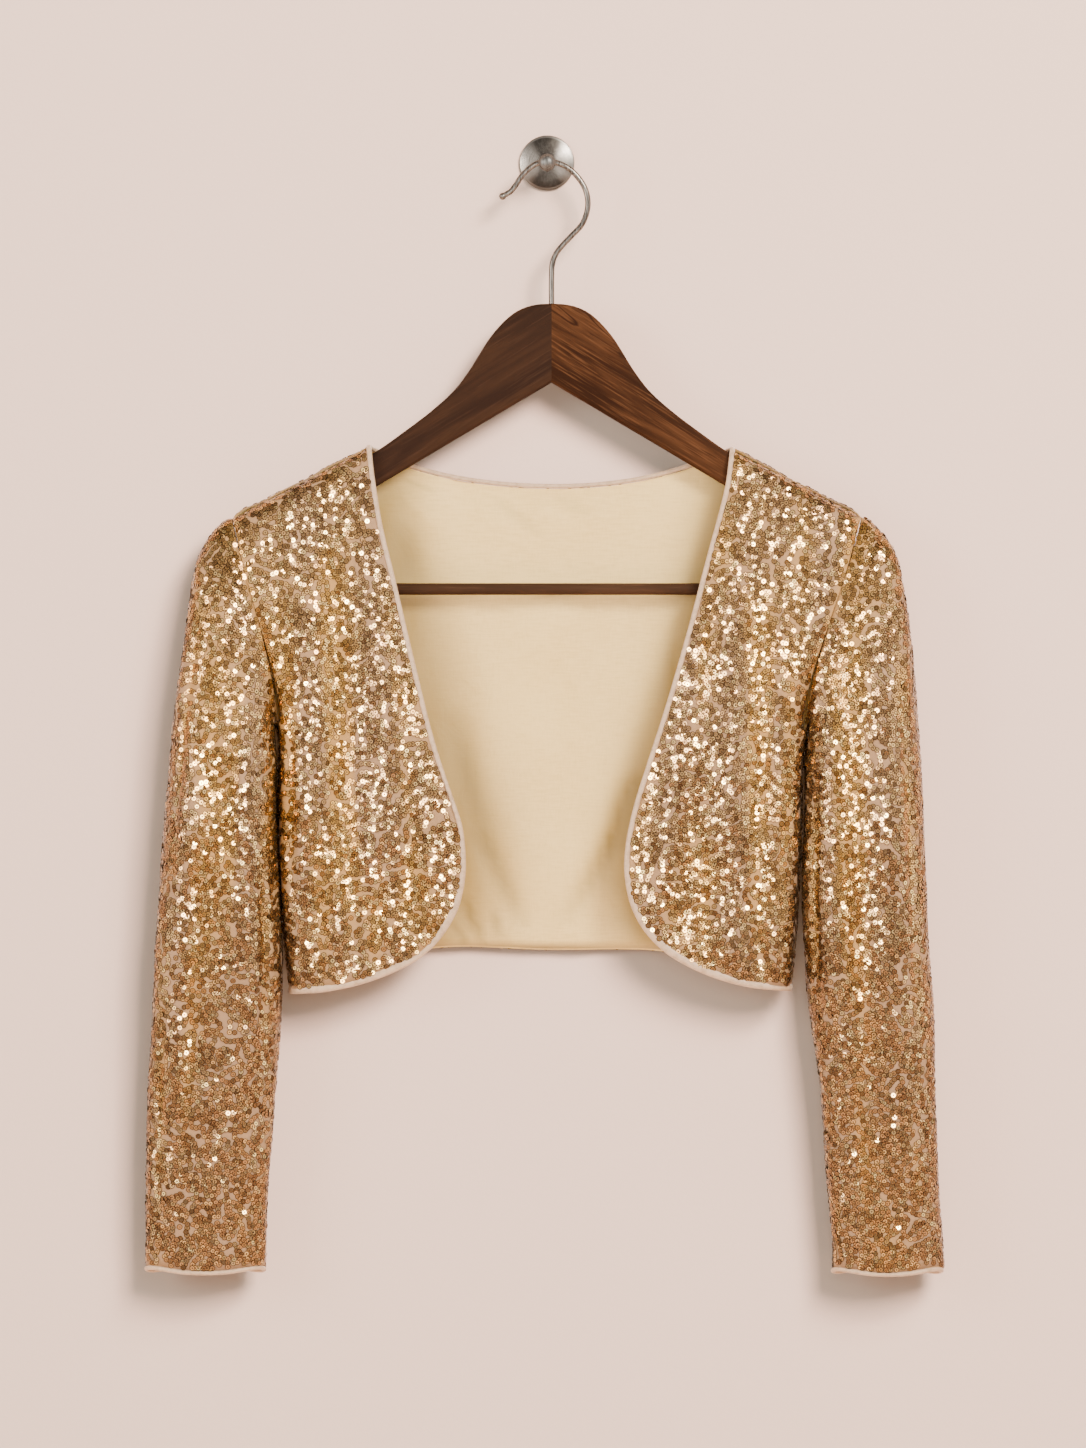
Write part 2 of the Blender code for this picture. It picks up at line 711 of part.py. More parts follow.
def trimmed(line, length):
    """The line with its first point moved this far towards its second."""
    start = line[0] + unit(line[1] - line[0]) * length
    return np.vstack([start[None], line[1:]])


def front_binding(side, grid, normals, material, collection):
    """The binding down one front's edge and along its hem to the side seam."""
    edge = np.vstack([grid[:, -1], grid[-1, -2::-1]])
    next_in = np.vstack([grid[:-1, -2], grid[-2:-1, -2], grid[-2, -2::-1]])
    edge_normals = np.vstack([normals[:, -1], normals[-1, -2::-1]])
    line = binding_line(edge, next_in, edge_normals)
    line[0, 1] -= SEAM_GAP / 2
    add_tube(f"front_binding_{side.name}", line, BINDING_RADIUS, material, collection)


def arm_outline(sign):
    """The hanger arm's outline in the plane of the hanger."""
    top = at_shares(smooth_line(ARM_TOP), np.linspace(0, 1, 15))
    tip = at_shares(smooth_line(ARM_TIP), np.linspace(0, 1, 14))[1:]
    crook = at_shares(smooth_line(ARM_CROOK), np.linspace(0, 1, 5))
    flat = np.vstack([top, tip, crook, ARM_UNDERSIDE])
    return np.stack([HANGER_X + sign * flat[:, 0], flat[:, 1]], axis=-1)


def hanger_arm(side, cutters, material, collection):
    """One wooden arm, with its sockets for the bar and the wire cut out."""
    outline = arm_outline(side.sign)
    half = HANGER_THICKNESS / 2
    mesh = bmesh.new()
    loop = [mesh.verts.new((x * MM, (HANGER_Y - half) * MM, z * MM)) for x, z in outline]
    face = mesh.faces.new(loop)
    made = bmesh.ops.extrude_face_region(mesh, geom=[face])
    moved = [item for item in made["geom"] if isinstance(item, bmesh.types.BMVert)]
    bmesh.ops.translate(mesh, verts=moved, vec=(0.0, HANGER_THICKNESS * MM, 0.0))
    bmesh.ops.recalc_face_normals(mesh, faces=mesh.faces)
    arm = add_object(f"hanger_arm_{side.name}", mesh, material, collection, smooth_angle=35)
    bevel = arm.modifiers.new("rounded_edges", "BEVEL")
    bevel.width = ARM_BEVEL * MM
    bevel.segments = 3
    bevel.limit_method = "ANGLE"
    bevel.angle_limit = math.radians(60)
    for cutter in cutters:
        cut = arm.modifiers.new(cutter.name, "BOOLEAN")
        cut.operation = "DIFFERENCE"
        cut.object = cutter
    return arm


def add_cutter(name, radius, depth, location, axis, collection):
    """A plain cylinder for cutting a socket."""
    mesh = bmesh.new()
    bmesh.ops.create_cone(
        mesh, cap_ends=True, segments=24, radius1=radius * MM, radius2=radius * MM, depth=depth * MM
    )
    obj = add_object(name, mesh, None, collection)
    obj.location = [value * MM for value in location]
    if axis == "X":
        obj.rotation_euler = (0.0, math.pi / 2, 0.0)
    obj.hide_render = True
    obj.display_type = "WIRE"
    return obj


def build_hanger(sides, wood, steel, collection, cutters):
    wire_bore = add_cutter(
        "wire_bore",
        WIRE_RADIUS + SEAM_GAP,
        2 * WIRE_BORE_DEPTH,
        (HANGER_X, HANGER_Y, ARM_TOP[0].z),
        "Z",
        cutters,
    )
    toe = ARM_CROOK[0].x
    for side in sides:
        socket = add_cutter(
            f"bar_socket_{side.name}",
            BAR_RADIUS + SEAM_GAP,
            2 * BAR_SOCKET,
            (HANGER_X + side.sign * toe, HANGER_Y, BAR_Z),
            "X",
            cutters,
        )
        hanger_arm(side, [wire_bore, socket], wood, collection)
    bar_half = toe + BAR_SOCKET - SEAM_GAP
    bar = [(HANGER_X + share * bar_half, HANGER_Y, BAR_Z) for share in (-1.0, 0.0, 1.0)]
    add_tube("hanger_bar", bar, BAR_RADIUS, wood, collection)
    build_wire(steel, collection)


def ball_end(middle, along, radius, shares):
    """Points and radii that swell a tube into a ball round this middle."""
    points = [tuple(middle + along * radius * share) for share in shares]
    radii = [radius * math.sqrt(1.0 - share**2) for share in shares]
    return points, radii


def build_wire(steel, collection):
    """The hanger's hook, a wire that ends in a small bead."""
    flat = at_shares(smooth_line(WIRE), np.linspace(0, 1, WIRE_POINTS))
    line = np.insert(flat, 1, HANGER_Y, axis=1)
    along = unit(line[-1] - line[-2])
    shares = np.linspace(-0.70, 0.97, 7)
    middle = line[-1] - along * BEAD_RADIUS * (shares[0] - BEAD_NECK)
    bead, bead_radii = ball_end(middle, along, BEAD_RADIUS, shares)
    radii = [WIRE_RADIUS] * len(line) + bead_radii
    add_tube("hanger_hook", [*line, *bead], WIRE_RADIUS, steel, collection, radii=radii)


def build_wall_plate(steel, collection):
    """A turned plate: a flat middle, a shallow cone and a thin rim, with its back on the wall."""
    mesh = bmesh.new()
    points = [mesh.verts.new((x * MM, y * MM, 0.0)) for x, y in PLATE_PROFILE]
    for first, second in zip(points, points[1:]):
        mesh.edges.new((first, second))
    plate = add_object("wall_plate", mesh, steel, collection, smooth_angle=25)
    turn = plate.modifiers.new("turned", "SCREW")
    turn.axis = "Y"
    turn.steps = 40
    turn.render_steps = 40
    turn.use_merge_vertices = True
    turn.merge_threshold = WELD
    turn.use_normal_flip = True
    return plate


def build_peg(steel, collection):
    """The peg: a thin neck that the wire rests on, turned up into a ball."""
    neck = [(0.0, y, z) for y, z in PEG_NECK]
    ball = np.array([0.0, BALL_Y, BALL_Z])
    along = unit(ball - np.array(neck[-1]))
    round_part, round_radii = ball_end(ball, along, BALL_RADIUS, np.linspace(-0.9, 0.97, 9))
    radii = [PEG_RADIUS] * len(neck) + round_radii
    add_tube("wall_peg", neck + round_part, PEG_RADIUS, steel, collection, radii=radii)


def build_lining(grid, normals, material, collection):
    """The back's lining, made from the back panel's points and ending just inside its hem."""
    inside = grid - normals * (CLOTH + LINING_GAP)
    last_row = inside[-2] + (inside[-1] - inside[-2]) * LINING_HEM_SHARE
    sheet = np.concatenate([inside[LINING_FIRST_ROW:-1], last_row[None]])[:, 1:-1]
    outward = -grid_normals(sheet)
    cloth_wall("back_lining", sheet, outward, LINING, False, material, collection)


def build_front(side, sequin, binding, collection):
    """One front with its binding. Returns its neck point, x and z."""
    grid, normals = front_grid(side)
    cloth_wall(f"front_{side.name}", grid, normals, CLOTH, False, sequin, collection)
    front_binding(side, grid, normals, binding, collection)
    return grid[0, -1, [0, 2]]


def build_sleeve(side, sequin, binding, collection):
    """One sleeve, with a round binding along its cuff."""
    grid, normals = sleeve_grid(side)
    cloth_wall(f"sleeve_{side.name}", grid, normals, CLOTH, True, sequin, collection)
    cuff = grid[-1] - normals[-1] * CLOTH / 2
    cuff[:, 2] -= SEAM_GAP + BINDING_RADIUS
    add_tube(f"cuff_binding_{side.name}", cuff, BINDING_RADIUS, binding, collection, closed=True)


def build_back(right, left, neck_points, sequin, lining, binding, collection):
    """The back with its lining and its neck binding."""
    grid, normals = back_grid(right, left, *neck_points)
    cloth_wall("back_panel", grid, normals, CLOTH, False, sequin, collection)
    build_lining(grid, normals, lining, collection)
    neck = slice(SHOULDER_COLUMNS, -SHOULDER_COLUMNS)
    line = binding_line(grid[0, neck], grid[1, neck], normals[0, neck])
    line = trimmed(trimmed(line, NECK_TRIM)[::-1], NECK_TRIM)[::-1]
    add_tube("back_neck_binding", line, BINDING_RADIUS, binding, collection)


def main():
    clear_scene()
    collection = make_collection("sequin_cropped_jacket_on_hanger")
    cutters = make_collection("cutters")
    sequin = make_material("sequin_cloth", SEQUIN_CLOTH)
    lining = make_material("satin_lining", SATIN_LINING)
    binding = make_material("satin_binding", SATIN_BINDING)
    wood = make_material("dark_walnut", DARK_WALNUT)
    steel = make_material("brushed_steel", BRUSHED_STEEL)
    right = Side(
        "right", -1, 6.0, RIGHT_RINGS, RIGHT_SIDE_SEAM, RIGHT_EDGE, RIGHT_FRONT_FOLDS, RIGHT_CREASES
    )
    left = Side("left", 1, 7.0, LEFT_RINGS, LEFT_SIDE_SEAM, LEFT_EDGE, LEFT_FRONT_FOLDS, LEFT_CREASES)
    neck_points = [build_front(side, sequin, binding, collection) for side in (right, left)]
    for side in (right, left):
        build_sleeve(side, sequin, binding, collection)
    build_back(right, left, neck_points, sequin, lining, binding, collection)
    build_hanger((right, left), wood, steel, collection, cutters)
    build_wall_plate(steel, collection)
    build_peg(steel, collection)


main()
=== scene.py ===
"""Dresses a cropped, open-front sequin jacket on a wooden hanger that hangs from a steel wall hook.

The tables are in millimetres and the meshes in metres, +Z up. The wall is the plane y = 0 and the
jacket faces -Y. Sides are the wearer's, so the wearer's right is at -X.
"""

import json
import logging
import math
from collections.abc import Callable, Iterable, Iterator, Mapping, Sequence
from contextlib import contextmanager
from dataclasses import dataclass
from enum import Enum
from typing import Any, NamedTuple, TypeVar

import bpy
import numpy as np
from bpy.types import ID, Collection, Material, Node, NodeSocket, Object, World
from mathutils.kdtree import KDTree
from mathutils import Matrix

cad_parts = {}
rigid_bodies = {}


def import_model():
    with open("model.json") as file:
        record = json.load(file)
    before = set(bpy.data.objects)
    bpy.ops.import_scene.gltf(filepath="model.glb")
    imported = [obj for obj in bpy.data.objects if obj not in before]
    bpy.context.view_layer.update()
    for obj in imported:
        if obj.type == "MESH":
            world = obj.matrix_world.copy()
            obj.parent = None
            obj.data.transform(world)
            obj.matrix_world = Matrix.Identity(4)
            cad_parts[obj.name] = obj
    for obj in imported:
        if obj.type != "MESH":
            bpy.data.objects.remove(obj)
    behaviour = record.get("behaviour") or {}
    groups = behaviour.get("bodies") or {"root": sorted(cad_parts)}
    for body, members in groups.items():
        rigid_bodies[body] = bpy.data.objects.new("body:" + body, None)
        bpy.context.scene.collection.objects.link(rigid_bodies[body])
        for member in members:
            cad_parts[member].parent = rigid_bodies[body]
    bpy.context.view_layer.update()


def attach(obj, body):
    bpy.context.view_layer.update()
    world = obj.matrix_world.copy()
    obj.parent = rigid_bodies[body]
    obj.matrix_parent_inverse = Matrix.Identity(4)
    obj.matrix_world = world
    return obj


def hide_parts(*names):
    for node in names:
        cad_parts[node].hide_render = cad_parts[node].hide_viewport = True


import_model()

LOG = logging.getLogger("sequin_jacket")
MM = 0.001
BODY = "root"
REAR_PIECES = ("sequins_back", "sequins_sleeve", "jacket_back", "jacket_sleeve")
SIDE_PIECES = ("sequins", "jacket_front", "jacket_sleeve")
WIRE_DEGREES = 50.0
WIRE_WELD = 0.001
FRONT = np.array([0.0, -1.0, 0.0])
UP = np.array([0.0, 0.0, 1.0])
ROUND = 2.0
FULL_TURN = 2 * math.pi

Span = tuple[float, float]
Triple = tuple[float, float, float]
Colour = Triple
Array = np.ndarray
Line = Array
Row = TypeVar("Row")


class Facing(Enum):
    """Which way a body panel faces, as the sign of its way along +Y."""

    FRONT = -1
    BACK = 1


class Ring(NamedTuple):
    """A sleeve's section: its outer and inner ends as seen from the front, and its depths."""

    outer_x: float
    outer_z: float
    inner_x: float
    inner_z: float
    front_y: float
    back_y: float


class Point(NamedTuple):
    """A place in the plane of the wall."""

    x: float
    z: float


class Depth(NamedTuple):
    """A panel's depth at one height, at its side and at its edge or middle."""

    z: float
    side_y: float
    edge_y: float


class Fold(NamedTuple):
    """A soft fold down a body panel, or along a sleeve, where x is a share of a turn round it.

    A depth above zero is a trough on a front or a sleeve.
    """

    top_x: float
    top_z: float
    bottom_x: float
    bottom_z: float
    half_width: float
    depth: float


def crease(turn: float, top_z: float, bottom_z: float, half_turn: float, depth: float) -> Fold:
    """Makes a crease straight along a sleeve, at one share of a turn."""
    return Fold(turn, top_z, turn, bottom_z, half_turn, depth)


def table_of(kind: Callable[..., Row], *rows: Sequence[float]) -> tuple[Row, ...]:
    """Makes a table of one kind from rows of plain numbers."""
    return tuple(kind(*row) for row in rows)


def unit(vectors: Array) -> Array:
    """Scales vectors to length one."""
    return vectors / np.linalg.norm(vectors, axis=-1, keepdims=True)


def bell(values: Array) -> Array:
    """Falls softly from 1 at zero to almost nothing two units away."""
    return np.exp(-(values**2))


def round_angles(count: int) -> Array:
    """Lists angles evenly round a full turn."""
    return np.arange(count) * FULL_TURN / count


def spokes(first: Array, second: Array, count: int) -> Array:
    """Returns the ways round each point, from its first direction towards its second."""
    angles = round_angles(count)[:, None]
    return first[:, None] * np.cos(angles) + second[:, None] * np.sin(angles)


def lengths_along(points: Array, axis: int = 0, power: float = 1.0) -> Array:
    """Adds up the steps along a polyline, or along each row or column of a grid.

    Args:
        points: the points, with their coordinates last.
        axis: which way the steps go.
        power: what each step is raised to first.

    Returns:
        The sum at each point, from 0 at the first.
    """
    steps = np.linalg.norm(np.diff(points, axis=axis), axis=-1) ** power
    start = np.zeros_like(np.take(points[..., 0], [0], axis=axis))
    return np.concatenate([start, np.cumsum(steps, axis=axis)], axis=axis)


def distances(grid: Array, axis: int) -> Array:
    """Measures each grid point from the first of its row or column, as seen from the front."""
    return lengths_along(grid[..., [0, 2]], axis)


def from_ends(grid: Array, axis: int) -> Array:
    """Measures each grid point from the nearer end of its row or column."""
    along = lengths_along(grid, axis)
    return np.minimum(along, np.take(along, [-1], axis=axis) - along)


def between(start: Line, end: Line, start_knot: float, end_knot: float, at: Array) -> Line:
    """Blends two points, or two rows of points, by where each value lies between the knots."""
    share = (at - start_knot) / (end_knot - start_knot)
    return start * (1 - share) + end * share


def smooth_line(rows: Sequence[Sequence[float]], steps: int = 16) -> Line:
    """Draws the centripetal Catmull-Rom curve through the rows.

    Args:
        rows: the points, of any number of values each.
        steps: how many points each stretch gets.

    Returns:
        The curve as a fine polyline.
    """
    table = np.array(rows, float)
    ends = np.vstack([2 * table[0] - table[1], table, 2 * table[-1] - table[-2]])
    knots = lengths_along(ends, power=0.5)
    pieces = []
    for i in range(1, len(ends) - 2):
        at = np.linspace(knots[i], knots[i + 1], steps, endpoint=False)[:, None]
        lines = [
            between(ends[k], ends[k + 1], knots[k], knots[k + 1], at) for k in (i - 1, i, i + 1)
        ]
        first_bend = between(lines[0], lines[1], knots[i - 1], knots[i + 1], at)
        second_bend = between(lines[1], lines[2], knots[i], knots[i + 2], at)
        pieces.append(between(first_bend, second_bend, knots[i], knots[i + 1], at))
    return np.vstack(pieces + [table[-1:]])


def at_lengths(line: Line, along: Array, wanted: Array) -> Line:
    """Finds the points of a polyline at these distances, where along is each point's own."""
    return np.stack([np.interp(wanted, along, line[:, k]) for k in range(line.shape[1])], axis=-1)


def at_shares(line: Line, shares: Array) -> Line:
    """Finds the points of a polyline at these shares of its length."""
    along = lengths_along(line)
    return at_lengths(line, along, shares * along[-1])


def even_line(rows: Sequence[Sequence[float]], count: int) -> Line:
    """Draws the smooth curve through the rows as evenly spaced points."""
    return at_shares(smooth_line(rows), np.linspace(0, 1, count))


def stood(flat: Line, y: float = 0.0) -> Line:
    """Stands a flat line of x and z up at one depth."""
    return np.insert(flat, 1, y, axis=1)


def rounded(distance: Array, radius: float | Array) -> Array:
    """Goes from 0 at an edge to 1 past the radius, as a quarter of an ellipse."""
    near = np.clip(distance / radius, 0.0, 1.0)
    return np.sqrt(1.0 - (1.0 - near) ** 2)


def smoothstep(values: Array, low: float, high: float) -> Array:
    """Goes softly from 0 at low to 1 at high."""
    share = np.clip((values - low) / (high - low), 0.0, 1.0)
    return share * share * (3.0 - 2.0 * share)


def cubic_between(values: Array, steps: int, axis: int, closed: bool) -> Array:
    """Adds points between a grid's rows or columns, on smooth curves through them.

    Args:
        values: the grid.
        steps: how many spans each old span becomes.
        axis: 0 for rows, 1 for columns.
        closed: whether the last row or column joins the first.

    Returns:
        The finer grid.
    """
    old = np.moveaxis(values, axis, 0)
    if closed:
        padded = np.concatenate([old[-1:], old, old[:2]])
    else:
        padded = np.concatenate([2 * old[:1] - old[1:2], old, 2 * old[-1:] - old[-2:-1]])
    spans = len(padded) - 3
    before, start, end, after = (padded[k : k + spans, None] for k in range(4))
    t = (np.arange(steps) / steps).reshape(1, steps, *[1] * (values.ndim - 1))
    curve = 0.5 * (
        2 * start
        + (end - before) * t
        + (2 * before - 5 * start + 4 * end - after) * t**2
        + (3 * start - before - 3 * end + after) * t**3
    )
    fine = curve.reshape(spans * steps, *old.shape[1:])
    if not closed:
        fine = np.concatenate([fine, old[-1:]])
    return np.moveaxis(fine, 0, axis)


def wave_noise(
    points: Array, wavelength: float | Sequence[float], seed: int, waves: int = 48
) -> Array:
    """Adds up plane waves of one length in random directions.

    Args:
        points: places in millimetres, with x, y and z last.
        wavelength: the waves' length, for all ways or along x, y and z.
        seed: what the directions and phases are drawn from.
        waves: how many waves.

    Returns:
        The field at each place, with a spread of about one.
    """
    draw = np.random.default_rng(seed)
    directions = unit(draw.normal(size=(waves, 3))) * FULL_TURN / np.asarray(wavelength)
    phases = draw.uniform(0, FULL_TURN, waves)
    total = np.zeros(points.shape[:-1])
    for direction, phase in zip(directions, phases):
        total += np.cos(points @ direction + phase)
    return total * math.sqrt(2 / waves)


def sample(grid: Array, rows: Array, columns: Array) -> Array:
    """Reads a grid of numbers or points at places that are counted in rows and columns.

    Args:
        grid: the numbers or points.
        rows: each place's row.
        columns: each place's column.

    Returns:
        What the grid holds at each place.
    """
    row = np.clip(rows.astype(int), 0, grid.shape[0] - 2)
    column = np.clip(columns.astype(int), 0, grid.shape[1] - 2)
    shape = rows.shape + (1,) * (grid.ndim - 2)
    down = (rows - row).reshape(shape)
    across = (columns - column).reshape(shape)
    upper = grid[row, column] * (1 - across) + grid[row, column + 1] * across
    lower = grid[row + 1, column] * (1 - across) + grid[row + 1, column + 1] * across
    return upper * (1 - down) + lower * down


def joined(grid: Array) -> Array:
    """Repeats a tube grid's first column at its end."""
    return np.concatenate([grid, grid[:, :1]], axis=1)


@dataclass
class Cloth:
    """A sheet of cloth as a grid of outer points with outward normals, in millimetres."""

    points: Array
    normals: Array
    closed: bool = False
    # How golden each point is painted: shade in the troughs and seam dips, and random streaks.
    gold: Array | None = None

    def refined(self, rows: int, columns: int) -> "Cloth":
        """Returns the sheet with this many spans in place of each, on smooth curves."""
        points, guide = (
            cubic_between(cubic_between(grid, rows, 0, False), columns, 1, self.closed)
            for grid in (self.points, self.normals)
        )
        return Cloth(points, unit(guide), self.closed).with_true_normals()

    def with_true_normals(self) -> "Cloth":
        """Sets the normals square to the surface, on the side of the old ones.

        Returns:
            The sheet.
        """
        down = np.gradient(self.points, axis=0)
        if self.closed:
            across = np.roll(self.points, -1, axis=1) - np.roll(self.points, 1, axis=1)
        else:
            across = np.gradient(self.points, axis=1)
        square = unit(np.cross(across, down))
        side = np.sign(np.sum(square * self.normals, axis=-1, keepdims=True))
        return Cloth(self.points, square * np.where(side == 0, 1, side), self.closed, self.gold)

    def moved(self, distance: float | Array) -> "Cloth":
        """Returns the sheet moved out along its normals by one distance or one for each point."""
        reach = np.broadcast_to(distance, self.points.shape[:2])[..., None]
        return Cloth(self.points + self.normals * reach, self.normals, self.closed, self.gold)

    def opened(self) -> "Cloth":
        """Returns a tube's sheet with its first column repeated at the end."""
        if not self.closed:
            return self
        return Cloth(joined(self.points), joined(self.normals), gold=joined(self.gold))

    def from_edges(self) -> Array:
        """Measures each point's distance from the nearest edge of the sheet."""
        down = from_ends(self.points, 0)
        return down if self.closed else np.minimum(down, from_ends(self.points, 1))

    def size_m(self) -> tuple[float, float]:
        """Measures the sheet's greatest width and length along its own surface.

        Returns:
            The width and length in metres.
        """
        grid = self.opened().points
        widths = np.linalg.norm(np.diff(grid, axis=1), axis=-1).sum(axis=1)
        lengths = np.linalg.norm(np.diff(grid, axis=0), axis=-1).sum(axis=0)
        return float(widths.max()) * MM, float(lengths.max()) * MM


@dataclass(frozen=True)
class JacketCut:
    """Sizes that every panel of the jacket shares, in millimetres."""

    seam_gap: float = 0.3
    cloth: float = 1.3
    shell: float = 1.0
    binding_radius: float = 1.6
    armhole_rows: int = 12
    side_rows: int = 10
    front_columns: int = 15
    shoulder_columns: int = 6
    neck_columns: int = 12
    sleeve_rings: int = 23
    front_column_power: float = 1.3
    back_column_power: float = 1.8
    side_row_power: float = 1.15
    sleeve_ring_power: float = 1.2
    neck_row_bunching: float = 0.2
    hem_turn_share: float = 0.7
    shoulder_arch: float = 8.0
    arm_arch: float = 16.0
    side_turn: float = 22.0
    shoulder_y: float = -26.0
    armhole_y: float = -28.0
    neck_turn: float = 9.0
    neck_behind_arm_y: float = -15.5
    neck_hollow: float = 2.5
    neck_hollow_width: float = 90.0
    neck_arch: float = 12.0
    bow_rings: int = 5
    bow_peak: float = 1.3
    cuff_squareness: float = 2.4
    fold_fullness: float = 0.7
    cuff_waves: int = 3
    cuff_wave: float = 1.6
    cuff_wave_rings: int = 4

    @property
    def rows(self) -> int:
        """Rows of a body panel, from the shoulder to the hem."""
        return self.armhole_rows + self.side_rows


CUT = JacketCut()


@dataclass(frozen=True)
class SideShape:
    """One side of the jacket as it hangs: its sleeve, side seam, open edge and folds."""

    name: str
    sign: int
    bow: float
    rings: tuple[Ring, ...]
    side_seam: tuple[Point, ...]
    edge: tuple[Point, ...]
    front_folds: tuple[Fold, ...]
    fine_folds: tuple[Fold, ...]
    creases: tuple[Fold, ...]
    fine_creases: tuple[Fold, ...]


RIGHT = SideShape(
    name="right",
    sign=-1,
    bow=6.0,
    rings=table_of(
        Ring, (-218, -246.3, -187.8, -390.3, -49, -7), (-234.5, -263, -188.6, -393.5, -52, -6),
        (-244, -293, -189, -397.5, -56, -5), (-251, -340, -189.2, -404, -60, -5),
        (-257, -389.5, -189, -418, -62, -5), (-262.8, -450, -188.6, -455, -62, -5),
        (-267.5, -508, -187.2, -508, -60, -6), (-271, -565, -184.3, -565, -57, -7),
        (-274.5, -645, -188.2, -645, -53, -8), (-276.3, -725, -193, -725, -49, -9),
        (-276.8, -763, -194.5, -763, -47, -10),
    ),
    side_seam=table_of(
        Point, (-187.8, -390.3), (-185.6, -399), (-185, -446), (-184.6, -480), (-181.5, -531),
        (-177.2, -571.5),
    ),
    edge=table_of(
        Point, (-121.3, -197.8), (-118.7, -219.4), (-113.4, -251.6), (-104.7, -287.9),
        (-91.7, -343.1), (-77.5, -400.1), (-66, -435.5), (-58.5, -458), (-56, -480.2), (-58, -506),
        (-68, -529), (-86, -549), (-116, -564), (-148, -572.5), (-177.2, -575),
    ),
    front_folds=table_of(
        Fold, (-138, -275, -137, -520, 13, 3.6), (-166, -300, -170, -540, 11, -2.4),
        (-118, -300, -112, -470, 12, -2.4), (-90, -440, -98, -545, 12, 2.2),
        (-160, -430, -154, -560, 9, 2),
    ),
    fine_folds=table_of(
        Fold, (-153, -258, -134, -555, 6, 2.3), (-137, -310, -122, -510, 5, -1.8),
        (-158, -330, -150, -500, 5, -1.2), (-176, -320, -176, -540, 5, 1.6),
        (-112, -290, -96, -460, 6, 1.7), (-88, -400, -84, -500, 5, -1.3),
        (-112, -480, -120, -562, 6, 1.5), (-142, -500, -146, -570, 5, -1),
        (-205, -270, -190, -395, 6, 1.6),
    ),
    creases=table_of(
        crease, (0.23, -320, -650, 0.035, 2.6), (0.33, -360, -720, 0.04, -1.8),
        (0.16, -390, -740, 0.035, -1.6), (0.72, -330, -690, 0.05, 2),
    ),
    fine_creases=table_of(
        crease, (0.28, -330, -560, 0.02, 1.7), (0.2, -480, -720, 0.02, 1.4),
        (0.12, -300, -500, 0.022, 1.5), (0.11, -560, -740, 0.022, 1.2),
        (0.38, -450, -640, 0.02, 1.5), (0.33, -620, -755, 0.02, 1.1),
        (0.64, -420, -640, 0.03, -1.1), (0.82, -380, -620, 0.03, 1.1),
    ),
)
LEFT = SideShape(
    name="left",
    sign=1,
    bow=7.0,
    rings=table_of(
        Ring, (217.8, -245.3, 180.3, -396.7, -49, -7), (236.3, -262.5, 180.6, -400, -52, -6),
        (245.3, -292, 180.6, -404, -56, -5), (251, -335, 180.4, -411, -60, -5),
        (254.8, -385, 180, -423, -62, -5), (258.6, -450, 179.4, -457, -62, -5),
        (261.8, -518, 178.9, -518, -60, -6), (264.2, -570, 181.5, -570, -57, -7),
        (267, -645, 188.2, -645, -53, -8), (271.2, -732, 195.4, -732, -49, -9),
        (272.6, -764, 196.6, -764, -47, -10),
    ),
    side_seam=table_of(
        Point, (180.3, -396.7), (177.6, -405), (175.6, -430), (175.2, -460), (172.6, -512),
        (168.3, -569.5),
    ),
    edge=table_of(
        Point, (126.3, -199.2), (122.3, -226.9), (117.2, -247.2), (109.2, -276.3), (95.4, -328.5),
        (81, -378), (69.7, -413), (60, -444), (54, -472), (54, -500), (63, -525.5), (80, -545),
        (106, -560), (136, -569.5), (168.3, -573),
    ),
    front_folds=table_of(
        Fold, (150, -285, 146, -520, 13, 3.4), (128, -290, 122, -500, 12, -2.4),
        (172, -330, 168, -540, 9, -2), (100, -430, 92, -540, 12, 2.2),
        (118, -500, 128, -565, 10, -1.6),
    ),
    fine_folds=table_of(
        Fold, (138, -262, 144, -520, 6, 2.1), (126, -330, 128, -470, 5, -1.7),
        (160, -290, 156, -500, 5, -1.5), (112, -290, 98, -440, 6, 1.5),
        (86, -410, 78, -510, 5, -1.3), (110, -470, 106, -556, 6, 1.5),
        (142, -500, 148, -566, 6, 1.2), (168, -340, 162, -560, 5, 1.6),
        (204, -268, 184, -400, 6, 1.6),
    ),
    creases=table_of(
        crease, (0.27, -330, -700, 0.035, 2.8), (0.36, -360, -660, 0.035, -1.8),
        (0.18, -380, -745, 0.035, -1.8), (0.7, -330, -690, 0.05, 2),
    ),
    fine_creases=table_of(
        crease, (0.31, -320, -560, 0.02, 1.8), (0.22, -440, -700, 0.02, -1.4),
        (0.13, -330, -600, 0.022, 1.5), (0.4, -420, -620, 0.02, 1.5),
        (0.3, -600, -755, 0.02, 1.3), (0.16, -620, -750, 0.02, 1.1),
        (0.62, -420, -650, 0.03, -1.1), (0.8, -370, -600, 0.03, 1.1),
    ),
)

FRONT_DEPTHS = table_of(
    Depth, (-198, -38, -36.5), (-250, -43, -40), (-320, -49, -44.5), (-400, -52, -48),
    (-480, -51, -49), (-575, -47, -46.5),
)
BACK_DEPTHS = table_of(
    Depth, (-198, -15.5, -13.5), (-260, -11, -12), (-330, -7, -9.5), (-400, -6.5, -8),
    (-575, -6.5, -7.5),
)
BACK_FOLDS = table_of(
    Fold, (-95, -300, -88, -535, 14, -1.6), (20, -330, 26, -520, 16, -1.5),
    (92, -290, 84, -535, 14, -1.8),
)
# Finer troughs of the back
BACK_FINE_FOLDS = table_of(
    Fold, (-140, -290, -132, -520, 8, -1.1), (-48, -320, -54, -530, 8, -1),
    (60, -310, 56, -500, 8, -1), (134, -300, 128, -530, 8, -1.1),
)
